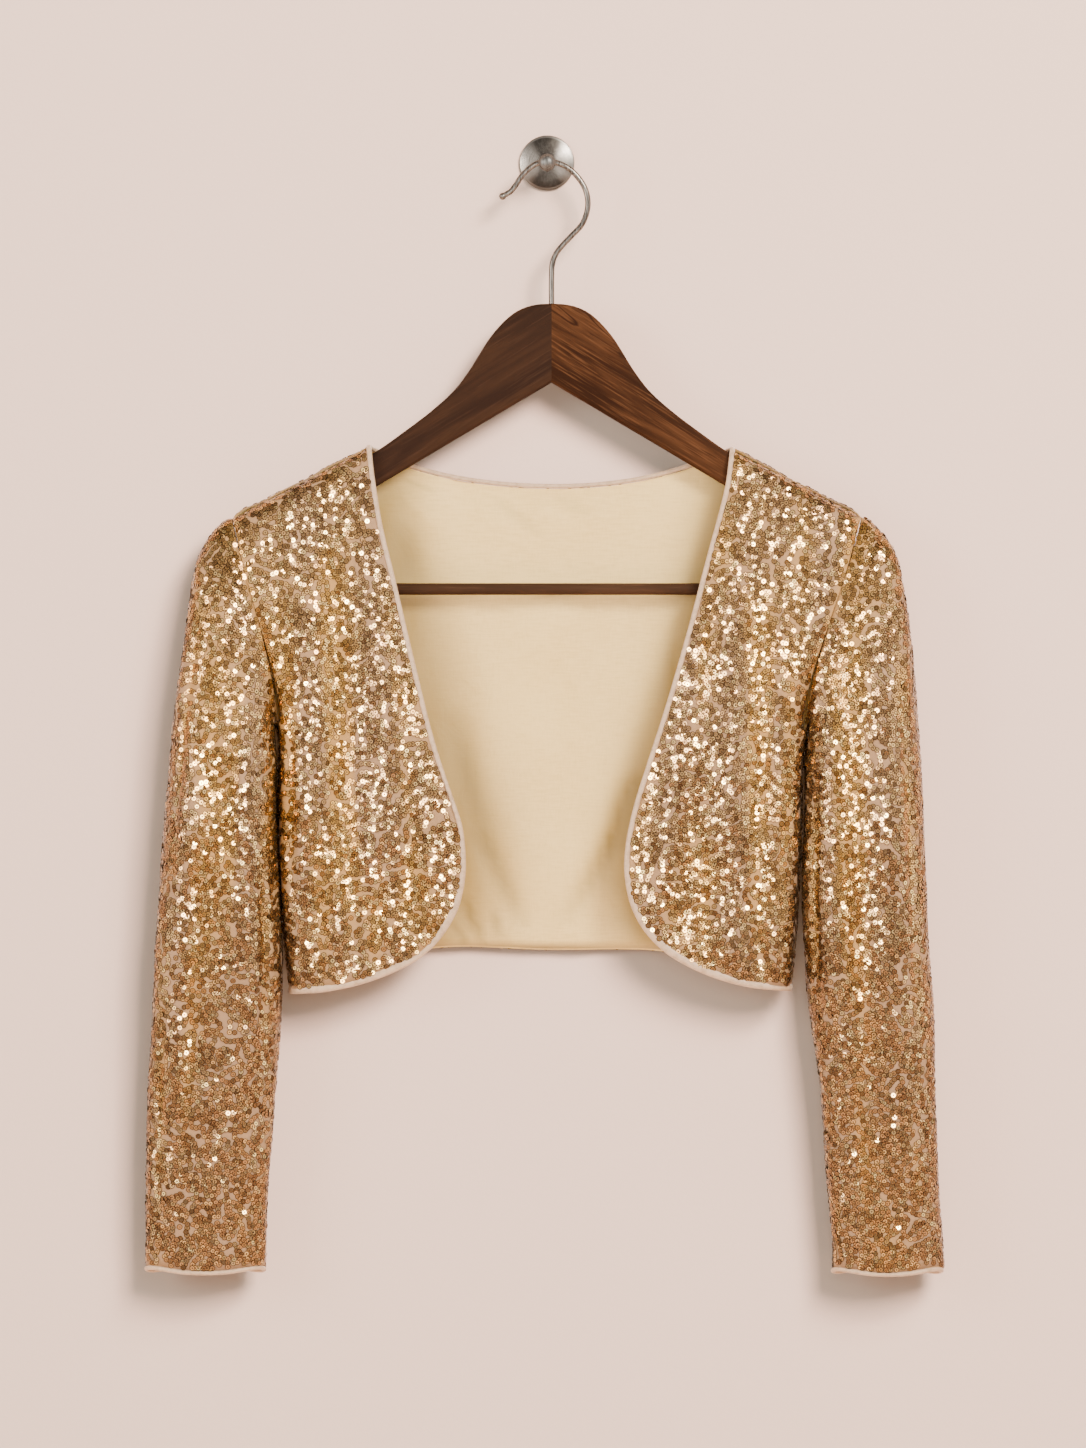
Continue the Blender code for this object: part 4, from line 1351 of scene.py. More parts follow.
def placed(name: str, data: ID) -> Object:
    """Adds an object with its data to the scene.

    Args:
        name: the object's name.
        data: its mesh or curve.

    Returns:
        The object.
    """
    obj = bpy.data.objects.new(name, data)
    bpy.context.scene.collection.objects.link(obj)
    return obj


def state(piece: Object, node: str = "") -> None:
    """Rides a piece on the body, and in place of a CAD node if it has one.

    Args:
        piece: the piece.
        node: the CAD node.
    """
    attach(piece, BODY)
    if node:
        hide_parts(node)
    LOG.info("%s: %d faces", piece.name, len(piece.data.polygons))


def state_hard(piece: Object, node: str, degrees: float) -> None:
    """Shades a hard piece smooth apart from its sharp edges, and states it.

    Args:
        piece: the piece.
        node: the CAD node.
        degrees: the angle past which an edge is sharp.
    """
    choose(piece)
    bpy.ops.object.shade_smooth_by_angle(angle=math.radians(degrees))
    state(piece, node)


def mesh_piece(name: str, points: Array, faces: Array, materials: Sequence[Material]) -> Object:
    """Makes a mesh object, shaded smooth.

    Args:
        name: the piece's name.
        points: its points in millimetres.
        faces: the corners of each face, all with the same number of corners.
        materials: its material slots.

    Returns:
        The object.
    """
    mesh = bpy.data.meshes.new(name)
    corners = faces.shape[1]
    mesh.vertices.add(len(points))
    mesh.vertices.foreach_set("co", (points * MM).astype(np.float32).ravel())
    mesh.loops.add(faces.size)
    mesh.loops.foreach_set("vertex_index", faces.astype(np.int32).ravel())
    mesh.polygons.add(len(faces))
    mesh.polygons.foreach_set("loop_start", np.arange(0, faces.size, corners, dtype=np.int32))
    mesh.update(calc_edges=True)
    mesh.validate()
    for material in materials:
        mesh.materials.append(material)
    mesh.shade_smooth()
    return placed(name, mesh)


def set_numbers(obj: Object, name: str, values: Array) -> None:
    """Stores one number at each point of a mesh."""
    attribute = obj.data.attributes.new(name, "FLOAT", "POINT")
    attribute.data.foreach_set("value", values.astype(np.float32).ravel())


def grid_faces(rows: int, columns: int, closed: bool) -> Array:
    """Lists the four corners of each face of a grid of points.

    Args:
        rows: how many rows.
        columns: how many columns.
        closed: whether the last column joins the first.

    Returns:
        Four point numbers for each face.
    """
    across = columns if closed else columns - 1
    row, column = np.meshgrid(np.arange(rows - 1), np.arange(across), indexing="ij")
    after = (column + 1) % columns
    corners = [row * columns + column, (row + 1) * columns + column]
    corners += [(row + 1) * columns + after, row * columns + after]
    return np.stack([c.ravel() for c in corners], axis=-1)


@dataclass(frozen=True)
class TroughShadeAndGoldStreaks:
    """How golden the cloth is painted: most in its troughs and seam dips as painted shade, and in
    soft random streaks down the garment.
    """

    streak_waves: Triple = (30.0, 60.0, 420.0)
    patch_waves: Triple = (24.0, 30.0, 60.0)
    trough_weight: float = 0.85
    streak_weight: float = 0.45
    patch_weight: float = 0.2
    low_loss: float = 0.55
    low_start: float = 520.0
    low_end: float = 660.0
    reach: Span = (-0.7, 1.7)

    def at(self, points: Array, trough: Array) -> Array:
        """Works out the tone, from 0 for rosy to 1 for golden, the gold in the troughs being
        painted shade.

        Args:
            points: places in millimetres.
            trough: how far each place lies in a trough, with seam dips added.

        Returns:
            The tone at each place.
        """
        streaks = wave_noise(points, self.streak_waves, seed=21)
        patches = wave_noise(points, self.patch_waves, seed=22)
        low = self.low_loss * smoothstep(-points[..., 2], self.low_start, self.low_end)
        tone = trough * self.trough_weight + streaks * self.streak_weight
        return smoothstep(tone + patches * self.patch_weight - low, *self.reach)


def cloth_shell(name: str, cloth: Cloth, outside: Material, inside: Material) -> Object:
    """Makes a thin closed shell from a sheet.

    Args:
        name: the piece's name.
        cloth: the sheet's outer points.
        outside: the finish of its outer side.
        inside: the finish of its inner side.

    Returns:
        The shell.
    """
    rows, columns = cloth.points.shape[:2]
    faces = grid_faces(rows, columns, cloth.closed)
    first = cloth.points.reshape(-1, 3)[faces]
    square = np.cross(first[:, 1] - first[:, 0], first[:, 3] - first[:, 0])
    outward = cloth.normals.reshape(-1, 3)[faces[:, 0]]
    if np.sum(square * outward) < 0:
        faces = faces[:, ::-1]
    shell = mesh_piece(name, cloth.points.reshape(-1, 3), faces, [outside, inside])
    gold = np.zeros(cloth.points.shape[:2]) if cloth.gold is None else cloth.gold
    # Stores the painted gold shade of the troughs, with the random streaks.
    set_numbers(shell, "warm", gold.ravel())
    wall = shell.modifiers.new("wall", "SOLIDIFY")
    wall.thickness = CUT.shell * MM
    wall.offset = -1.0
    wall.material_offset = 1
    apply_modifiers(shell)
    return shell


def contour_lines(field: Array) -> list[Array]:
    """Traces the lines along which a field over a grid changes sign.

    Args:
        field: the values, rows down and columns across.

    Returns:
        One array for each line, with the row and column of each of its points.
    """
    above = field > 0
    level = above[:, :-1] != above[:, 1:]
    upright = above[:-1] != above[1:]
    level_id = np.arange(level.size).reshape(level.shape)
    upright_id = level.size + np.arange(upright.size).reshape(upright.shape)
    places = np.zeros((level.size + upright.size, 2))
    for crossed, ids, step in ((level, level_id, (0, 1)), (upright, upright_id, (1, 0))):
        cells = np.argwhere(crossed)
        here, there = field[tuple(cells.T)], field[tuple((cells + step).T)]
        places[ids[tuple(cells.T)]] = cells + (here / (here - there))[:, None] * step
    sides = np.stack([level[:-1], upright[:, :-1], level[1:], upright[:, 1:]], axis=-1)
    names = np.stack([level_id[:-1], upright_id[:, :-1], level_id[1:], upright_id[:, 1:]], axis=-1)
    count = sides.sum(axis=-1)
    two = names[count == 2][sides[count == 2]].reshape(-1, 2)
    four = names[count == 4].reshape(-1, 2)
    links = np.vstack([two, four])
    neighbours: dict[int, list[int]] = {}
    for first, second in links.tolist():
        neighbours.setdefault(first, []).append(second)
        neighbours.setdefault(second, []).append(first)
    ends = [name for name, near in neighbours.items() if len(near) == 1]
    lines = []
    for start in [*ends, *list(neighbours)]:
        if start not in neighbours:
            continue
        line = [start]
        near = neighbours.pop(start)
        while near:
            following = next((name for name in near if name in neighbours), None)
            if following is None:
                break
            line.append(following)
            near = neighbours.pop(following)
        lines.append(places[line])
    return lines


@dataclass
class SequinWork:
    """Sequins sewn in meandering lines over a piece of cloth."""

    finish: Material
    radius: float = 2.0
    hole: float = 0.2
    sides: int = 8
    pitch: float = 2.75
    pitch_jitter: float = 0.12
    look_ahead: float = 0.6
    line_wave: float = 10.6
    levels: tuple[float, ...] = (-1.25, 0.0, 1.25)
    trace_step: float = 0.85
    lift: float = 0.5
    lift_spread: Span = (0.7, 1.3)
    size_spread: Span = (0.94, 1.04)
    lean: float = 0.08
    wobble: float = 0.075
    droop: float = 0.05
    droop_start: float = 480.0
    droop_end: float = 640.0
    border: float = 1.3
    filler_pitch: float = 3.5
    filler_gap: float = 3.5
    filler_spread: Span = (0.25, 0.75)
    filler_step: float = 0.2
    map_radius: float = 0.46
    seed: int = 40

    def sew(self, names: Sequence[str], cloth: Cloth) -> list[Object]:
        """Sews sequins over a sheet.

        Args:
            names: the names of the pieces, top to bottom, that the sequins are shared among.
            cloth: the sheet, with its folds.

        Returns:
            The pieces.
        """
        self.seed += 1
        sheet = cloth.opened()
        places, steps = self.places(sheet, cloth)
        points = sample(sheet.points, *places.T)
        tangents = unit(sample(sheet.points, *(places + steps).T) - points + 1e-9)
        normals = unit(sample(sheet.normals, *places.T))
        gold = sample(sheet.gold, *places.T)
        order = np.argsort(-points[:, 2], kind="stable")
        made = []
        for name, share in zip(names, np.array_split(order, len(names))):
            parts = [values[share] for values in (points, normals, tangents, gold)]
            made.append(self.discs(name, *parts))
            LOG.info("%s: %d sequins", name, len(share))
        return made

    def places(self, sheet: Cloth, cloth: Cloth) -> tuple[Array, Array]:
        """Finds where the sequins go.

        Args:
            sheet: the cloth, opened out.
            cloth: the cloth.

        Returns:
            Each sequin's row and column, and the step to the next one.
        """
        width, length = (size / MM for size in sheet.size_m())
        rows = np.linspace(0, sheet.points.shape[0] - 1, int(length / self.trace_step))
        columns = np.linspace(0, sheet.points.shape[1] - 1, int(width / self.trace_step))
        points = sample(sheet.points, *np.meshgrid(rows, columns, indexing="ij"))
        field = wave_noise(points, self.line_wave, self.seed)
        scale = np.array([rows[1] - rows[0], columns[1] - columns[0]])
        draw = np.random.default_rng(self.seed)
        found, steps = [], []
        for level in self.levels:
            for line in contour_lines(field - level):
                line = line * scale
                along = lengths_along(sample(sheet.points, *line.T))
                count = int(along[-1] / self.pitch)
                if count < 1:
                    continue
                jitter = draw.uniform(-self.pitch_jitter, self.pitch_jitter, count)
                at = (np.arange(count) + 0.5 + jitter) / count * along[-1]
                here = at_lengths(line, along, at)
                found.append(here)
                steps.append(at_lengths(line, along, at + self.look_ahead) - here)
        lone, lone_steps = self.fillers(sheet, np.vstack(found), (length, width), draw)
        places, step = np.vstack([*found, lone]), np.vstack([*steps, lone_steps])
        inset = cloth.from_edges()
        if cloth.closed:
            inset = joined(inset)
        keep = (sample(inset, *places.T) > self.border) & (np.abs(step).sum(axis=1) > 0)
        return places[keep], step[keep]

    def fillers(
        self, sheet: Cloth, places: Array, size: Sequence[float], draw: np.random.Generator
    ) -> tuple[Array, Array]:
        """Finds where lone sequins fill the gaps that the lines leave.

        Args:
            sheet: the sheet, opened out.
            places: the rows and columns of the sequins in the lines.
            size: the sheet's length and width in millimetres.
            draw: what the places are drawn from.

        Returns:
            The rows and columns of the lone sequins, and a step from each in any direction.
        """
        tree = KDTree(len(places))
        for index, point in enumerate(sample(sheet.points, *places.T).tolist()):
            tree.insert(point, index)
        tree.balance()
        spans = np.array(sheet.points.shape[:2]) - 1
        counts = [int(side / self.filler_pitch) for side in size]
        grid = np.stack(np.meshgrid(*map(np.arange, counts), indexing="ij"), axis=-1)
        jitter = draw.uniform(*self.filler_spread, (grid[..., 0].size, 2))
        grid = (grid.reshape(-1, 2) + jitter) / counts * spans
        points = sample(sheet.points, *grid.T).tolist()
        lone = grid[[tree.find(point)[2] > self.filler_gap for point in points]]
        turns = draw.uniform(0, FULL_TURN, len(lone))
        return lone, np.stack([np.cos(turns), np.sin(turns)], axis=-1) * self.filler_step

    def discs(
        self, name: str, points: Line, normals: Array, tangents: Array, gold: Array
    ) -> Object:
        """Makes one mesh of flat discs with a hole, each leaning on the one before it.

        Args:
            name: the piece's name.
            points: where each disc is.
            normals: the ways out of the cloth.
            tangents: the ways to the next disc.
            gold: how golden each is painted, with painted shade in the troughs.

        Returns:
            The piece.
        """
        draw = np.random.default_rng(self.seed + len(points))
        count = len(points)
        across = unit(np.cross(normals, tangents))
        lean = self.lean + draw.normal(0.0, self.wobble, (count, 1))
        roll = draw.normal(0.0, self.wobble, (count, 1))
        low = smoothstep(-points[:, 2:], self.droop_start, self.droop_end)
        axis = unit(normals - tangents * lean + across * roll - self.droop * low * UP)
        first = unit(tangents - axis * np.sum(tangents * axis, axis=1, keepdims=True))
        size = self.radius * draw.uniform(*self.size_spread, (count, 1, 1))
        centre = points + normals * self.lift * draw.uniform(*self.lift_spread, (count, 1))
        spoke = spokes(first, np.cross(axis, first), self.sides)
        rings = [centre[:, None] + spoke * size * share for share in (1.0, self.hole)]
        vertices = np.concatenate(rings, axis=1).reshape(-1, 3)
        near = np.arange(self.sides)
        after = (near + 1) % self.sides
        one = np.stack([near, after, after + self.sides, near + self.sides], axis=-1)
        each = 2 * self.sides
        faces = (one[None] + (np.arange(count) * each)[:, None, None]).reshape(-1, 4)
        piece = mesh_piece(name, vertices, faces, [self.finish])
        set_numbers(piece, "disc", np.tile(np.repeat([1.0, self.hole], self.sides), count))
        # The tone gives some sequins a painted pale glint; the haze sets their roughness.
        for tone in ("tone", "haze"):
            set_numbers(piece, tone, np.repeat(draw.uniform(0.0, 1.0, count), each))
        set_numbers(piece, "warm", np.repeat(gold, each))
        self.lay_out(piece, count)
        state(piece)
        return piece

    def lay_out(self, piece: Object, count: int) -> None:
        """Gives each disc its own square of the piece's map.

        Args:
            piece: the discs.
            count: how many.
        """
        side = math.ceil(math.sqrt(count))
        index = np.arange(count)
        middle = np.stack([index % side + 0.5, index // side + 0.5], axis=-1)
        angles = round_angles(self.sides)
        rim = np.stack([np.cos(angles), np.sin(angles)], axis=-1) * self.map_radius
        rings = np.concatenate([rim, rim * self.hole])
        places = ((middle[:, None] + rings[None]) / side).reshape(-1, 2)
        corners = np.empty(len(piece.data.loops), np.int32)
        piece.data.loops.foreach_get("vertex_index", corners)
        layer = piece.data.uv_layers.new(name="OFBake")
        layer.uv.foreach_set("vector", places[corners].astype(np.float32).ravel())


class Trim(NamedTuple):
    """A binding for an edge.

    It has the piece's name, its CAD node and its middle line. At each point of the line it has the
    ways out of the edge and out of the cloth, and its half width. Its ends meet if it is closed.
    """

    name: str
    node: str
    line: Line
    outward: Array
    normals: Array
    widths: Array
    closed: bool = False


@dataclass
class Binding:
    """A satin binding over an edge: a soft flattened roll."""

    finish: Material
    sides: int = 14
    smoothing: int = 4
    pucker: float = 0.06
    most_pucker: float = 1.5

    def roll(self, trim: Trim) -> Object:
        """Makes the roll.

        Args:
            trim: where it runs and how wide it is.

        Returns:
            The binding.
        """
        columns = [trim.line, trim.outward, trim.normals, trim.widths[:, None]]
        table = np.concatenate(columns, axis=1)[:, None]
        fine = cubic_between(table, self.smoothing, 0, trim.closed)[:, 0]
        middle, half = fine[:, :3], fine[:, 9:]
        out, up = unit(fine[:, 3:6]), unit(fine[:, 6:9])
        draw = np.random.default_rng(len(trim.name) + len(fine))
        uneven = draw.normal(size=(len(fine), 1)).clip(-self.most_pucker, self.most_pucker)
        thick = CUT.binding_radius * (1 + self.pucker * uneven)
        rings = middle[:, None] + spokes(out * half, up * thick, self.sides)
        roll = tube_piece(trim.name, rings, trim.closed, [self.finish])
        state(roll, trim.node)
        return roll


def tube_piece(name: str, rings: Array, closed: bool, materials: Sequence[Material]) -> Object:
    """Makes a tube through rings of points, with closed ends.

    Args:
        name: the piece's name.
        rings: one ring of points for each place along the tube.
        closed: whether the last ring joins the first.
        materials: its material slots.

    Returns:
        The tube, with its faces pointing out.
    """
    count, sides = rings.shape[:2]
    points = rings.reshape(-1, 3)
    faces = grid_faces(count + 1 if closed else count, sides, True) % (count * sides)
    tube = mesh_piece(name, points, faces, materials)
    with edit_mode(tube):
        if not closed:
            bpy.ops.mesh.select_non_manifold()
            bpy.ops.mesh.fill_holes(sides=sides)
    tube.data.shade_smooth()
    return tube


@dataclass
class Jacket:
    """The sequin jacket: two fronts, a back with its lining, two sleeves and their bindings."""

    net: Material
    lining: Material
    sequins: SequinWork
    binding: Binding
    gold: TroughShadeAndGoldStreaks = TroughShadeAndGoldStreaks()
    neck_trim: float = 2.5
    side_swell: float = 2.1
    swell_reach: float = 15.0
    swell_turn: float = 0.15
    swell_start: Span = (385.0, 414.0)
    swell_end: Span = (-640.0, -540.0)
    seam_dip: float = 1.6
    seam_reach: float = 2.8
    seam_free: float = 12.0
    unevenness: float = 0.5
    main_share: float = 0.6
    uneven_waves: Triple = (27.0, 27.0, 75.0)
    hem_swell: Span = (455.0, 540.0)
    hem_width: float = 0.75
    edge_width: float = 0.25
    hem_wave: float = 34.0
    hem_overlap: float = 0.8
    lining_least: float = 0.25
    lining_more: float = 0.45
    lining_ease: Span = (4.0, 30.0)
    lining_free: Span = (4.0, 22.0)
    lining_hem: Span = (0.5, 5.0)
    lining_slack: float = 1.5
    lining_unevenness: float = 0.6
    lining_waves: Triple = (46.0, 46.0, 80.0)
    lining_reach: float = 3.2
    lining_tuck: float = 0.15
    # Painted shade on the lining in its creases and beside each front's open edge, and a dark hem
    # line.
    crease_shade: float = 0.24
    crease_shades: Span = (-0.3, 2.4)
    hem_line_reach: float = 2.2
    front_shades: tuple[tuple[SideShape, float, float], ...] = (
        (RIGHT, 0.78, 29.0), (LEFT, 0.85, 19.0)
    )

    def build(self) -> None:
        """Builds and dresses every panel."""
        fronts = {side.name: front_cloth(side) for side in (RIGHT, LEFT)}
        for side in (RIGHT, LEFT):
            self.build_front(side, fronts[side.name])
            self.build_sleeve(side)
        necks = [fronts[side.name].points[0, -1, [0, 2]] for side in (RIGHT, LEFT)]
        self.build_back(back_cloth(*necks))

    def ruffled(self, cloth: Cloth, relief: Array, main_relief: Array, seams: Array) -> Cloth:
        """Presses fine folds and seams into a sheet, with a slight unevenness, and paints gold
        shade into its troughs and seam dips.

        Args:
            cloth: the fine sheet, which has its main folds.
            relief: how far each point moves inwards.
            main_relief: how far the main folds have moved it.
            seams: each point's distance from the nearest seam.

        Returns:
            The sheet as it hangs.
        """
        free = smoothstep(seams, 0.0, self.seam_free)
        uneven = self.unevenness * wave_noise(cloth.points, self.uneven_waves, seed=7)
        dip = self.seam_dip * bell(seams / self.seam_reach)
        # Painted shade: gold in the troughs and seam dips.
        cloth.gold = self.gold.at(cloth.points, main_relief * self.main_share + relief * free + dip)
        return cloth.moved(-(relief + uneven) * free - dip).with_true_normals()

    def swelled(self, cloth: Cloth, nearness: Array) -> Cloth:
        """Swells the cloth outwards where the body and a sleeve hang side by side.

        Args:
            cloth: the cloth.
            nearness: how near the side each point is, up to 1.

        Returns:
            The swelled cloth.
        """
        z = cloth.points[..., 2]
        upright = smoothstep(-z, *self.swell_start) * smoothstep(z, *self.swell_end)
        return cloth.moved(self.side_swell * nearness * upright)

    def dress(self, name: str, node: str, cloth: Cloth, names: Sequence[str], trim: Trim) -> None:
        """Builds one panel with its sequins and binding.

        Args:
            name: what the panel is called.
            node: its CAD node.
            cloth: the sheet as it hangs.
            names: the names of its pieces of sequins.
            trim: its binding.
        """
        shell = cloth_shell(f"jacket_{name}", cloth, self.net, self.lining)
        discs = self.sequins.sew(names, cloth)
        self.declare(shell, node, [*discs, self.binding.roll(trim)])

    def build_front(self, side: SideShape, coarse: Cloth) -> None:
        """Builds one front with its sequins and binding.

        Args:
            side: the wearer's side.
            coarse: the front's sheet.
        """
        name = f"front_{side.name}"
        fine = coarse.refined(3, 4)
        x, z = fine.points[..., 0], fine.points[..., 2]
        reliefs = [fold_relief(folds, x, z) for folds in (side.fine_folds, side.front_folds)]
        inset = distances(fine.points, 1)
        fine = self.swelled(fine, bell(inset / self.swell_reach))
        cloth = self.ruffled(fine, *reliefs, np.minimum(distances(fine.points, 0), inset))
        self.dress(name, name, cloth, [f"sequins_{name}"], self.front_trim(side, coarse))

    def front_trim(self, side: SideShape, cloth: Cloth) -> Trim:
        """Lays the binding down one front's edge and along its hem to the side seam.

        Args:
            side: the wearer's side.
            cloth: the front's sheet.

        Returns:
            The binding's line, ways and widths.
        """
        grid, normals = cloth.points, cloth.normals
        edge = np.vstack([grid[:, -1], grid[-1, -2::-1]])
        next_in = np.vstack([grid[:-1, -2], grid[-2:-1, -2], grid[-2, -2::-1]])
        edge_normals = np.vstack([normals[:, -1], normals[-1, -2::-1]])
        line, outward = binding_line(edge, next_in, edge_normals)
        line[0, 1] -= CUT.seam_gap / 2
        low = smoothstep(-edge[:, 2], *self.hem_swell)
        uneven = self.edge_width * low * wave_noise(edge, self.hem_wave, seed=31)
        wider = self.edge_width + self.hem_width * low + uneven
        line -= outward * wider[:, None] * self.hem_overlap
        name, node = f"binding_front_{side.name}", f"front_binding_{side.name}"
        return Trim(name, node, line, outward, edge_normals, CUT.binding_radius + wider)

    def build_sleeve(self, side: SideShape) -> None:
        """Builds one sleeve with its sequins and the binding of its cuff.

        Args:
            side: the wearer's side.
        """
        name = f"sleeve_{side.name}"
        coarse = sleeve_cloth(side)
        fine = coarse.refined(4, 5)
        turns = np.arange(fine.points.shape[1]) / fine.points.shape[1]
        z = fine.points[..., 2]
        reliefs = [fold_relief(folds, turns, z) for folds in (side.fine_creases, side.creases)]
        fine = self.swelled(fine, bell((turns - 0.5) / self.swell_turn))
        cloth = self.ruffled(fine, *reliefs, distances(fine.points, 0))
        self.dress(name, name, cloth, [f"sequins_{name}"], self.cuff_trim(side, coarse))

    def cuff_trim(self, side: SideShape, cloth: Cloth) -> Trim:
        """Lays the binding round one cuff.

        Args:
            side: the wearer's side.
            cloth: the sleeve's sheet.

        Returns:
            The binding's line, ways and widths.
        """
        cuff = cloth.points[-1] - cloth.normals[-1] * CUT.cloth / 2
        cuff[:, 2] -= CUT.seam_gap + CUT.binding_radius
        name, node = f"binding_cuff_{side.name}", f"cuff_binding_{side.name}"
        down = np.tile(-UP, (len(cuff), 1))
        widths = np.full(len(cuff), CUT.binding_radius)
        return Trim(name, node, cuff, down, cloth.normals[-1], widths, closed=True)

    def build_back(self, coarse: Cloth) -> None:
        """Builds the back with its sequins, lining and neck binding.

        Args:
            coarse: the back's sheet.
        """
        fine = coarse.refined(3, 4)
        x, z = fine.points[..., 0], fine.points[..., 2]
        reliefs = [-fold_relief(folds, x, z) for folds in (BACK_FINE_FOLDS, BACK_FOLDS)]
        inset = from_ends(fine.points, 1)
        fine = self.swelled(fine, bell(inset / self.swell_reach))
        cloth = self.ruffled(fine, *reliefs, inset)
        names = ["sequins_back_upper", "sequins_back_lower"]
        self.dress("back", "back_panel", cloth, names, self.neck_trim_of(coarse))
        self.build_lining(cloth)

    def neck_trim_of(self, cloth: Cloth) -> Trim:
        """Lays the binding along the back neck edge, between the shoulder seams.

        Args:
            cloth: the back's sheet.

        Returns:
            The binding's line, ways and widths.
        """
        neck = slice(CUT.shoulder_columns, -CUT.shoulder_columns)
        grid, normals = cloth.points, cloth.normals
        up = normals[0, neck]
        line, outward = binding_line(grid[0, neck], grid[1, neck], up)
        for end, near in ((0, 1), (-1, -2)):
            line[end] += unit(line[near] - line[end]) * self.neck_trim
        widths = np.full(len(line), CUT.binding_radius)
        return Trim("binding_back_neck", "back_neck_binding", line, outward, up, widths)

    def build_lining(self, fine: Cloth) -> None:
        """Builds the back's lining, from just under the neck edge to its turned hem.

        Args:
            fine: the back's finished sheet.
        """
        down = distances(fine.points, 0)
        gap = self.lining_least + self.lining_more * smoothstep(down, *self.lining_ease)
        waves = wave_noise(fine.points, self.lining_waves, seed=9)
        uneven = self.lining_slack + self.lining_unevenness * waves
        creases = fold_relief(LINING_CREASES, fine.points[..., 0], fine.points[..., 2])
        free = smoothstep(down, *self.lining_free) * smoothstep(down[-1:] - down, *self.lining_hem)
        inwards = CUT.shell + gap + np.clip(uneven - creases, 0.0, self.lining_reach) * free
        moved = fine.moved(-inwards)
        last = moved.points[-1] + (moved.points[-2] - moved.points[-1]) * self.lining_tuck
        points = np.concatenate([moved.points[1:-1], last[None]])[:, 3:-3]
        sheet = Cloth(points, -moved.normals[1:, 3:-3]).with_true_normals()
        shell = cloth_shell("jacket_back_lining", sheet, self.lining, self.lining)
        points = np.empty(3 * len(shell.data.vertices))
        shell.data.vertices.foreach_get("co", points)
        # Stores the lining's painted shade and dark hem line at each point.
        set_numbers(shell, "shaded", self.lining_shade(points.reshape(-1, 3) / MM))
        self.declare(shell, "back_lining", [])

    def lining_shade(self, points: Array) -> Array:
        """Says how much painted shade the lining gets beside the fronts and in its creases, and
        where its dark hem line is.

        Args:
            points: points of the lining.

        Returns:
            The share of the dark colour, up to 1.
        """
        x, z = points[:, 0], points[:, 2]
        shade = self.crease_shade * np.clip(fold_relief(LINING_CREASES, x, z), *self.crease_shades)
        for side, depth, reach in self.front_shades:
            edge = np.array(side.edge)[::-1]
            clear = side.sign * (np.interp(z, edge[:, 1], edge[:, 0]) - x)
            shade += depth * bell(np.maximum(clear, 0.0) / reach)
        from_hem = z - np.interp(x, *np.array(BACK_HEM).T)
        return np.clip(np.maximum(shade, bell(from_hem / self.hem_line_reach)), 0.0, 1.0)

    def declare(
        self, shell: Object, node: str, pieces: Sequence[Object]
    ) -> None:
        """Rides a panel on the body in place of its CAD node.

        Args:
            shell: the panel.
            node: the CAD node.
            pieces: what is sewn to it; not used.
        """
        state(shell, node)


def binding_line(edge: Line, next_in: Line, normals: Array) -> tuple[Line, Array]:
    """Finds the middle of a round binding that caps a panel's edge.

    Args:
        edge: the panel's outer points along the edge.
        next_in: the points one step in from it.
        normals: the cloth's outward ways along the edge.

    Returns:
        The binding's middle line, and at each point the way out of the edge.
    """
    steps = unit(np.diff(edge, axis=0))
    turned = np.vstack([steps[:1], steps]) + np.vstack([steps, steps[-1:]])
    mitre = 2.0 / np.linalg.norm(turned, axis=1, keepdims=True)
    along = unit(turned)
    outward = edge - next_in
    outward = unit(outward - along * np.sum(outward * along, axis=1, keepdims=True))
    outward = unit(outward - normals * np.sum(outward * normals, axis=1, keepdims=True))
    middle = edge - normals * CUT.cloth / 2 + outward * mitre * (CUT.seam_gap + CUT.binding_radius)
    return middle, outward


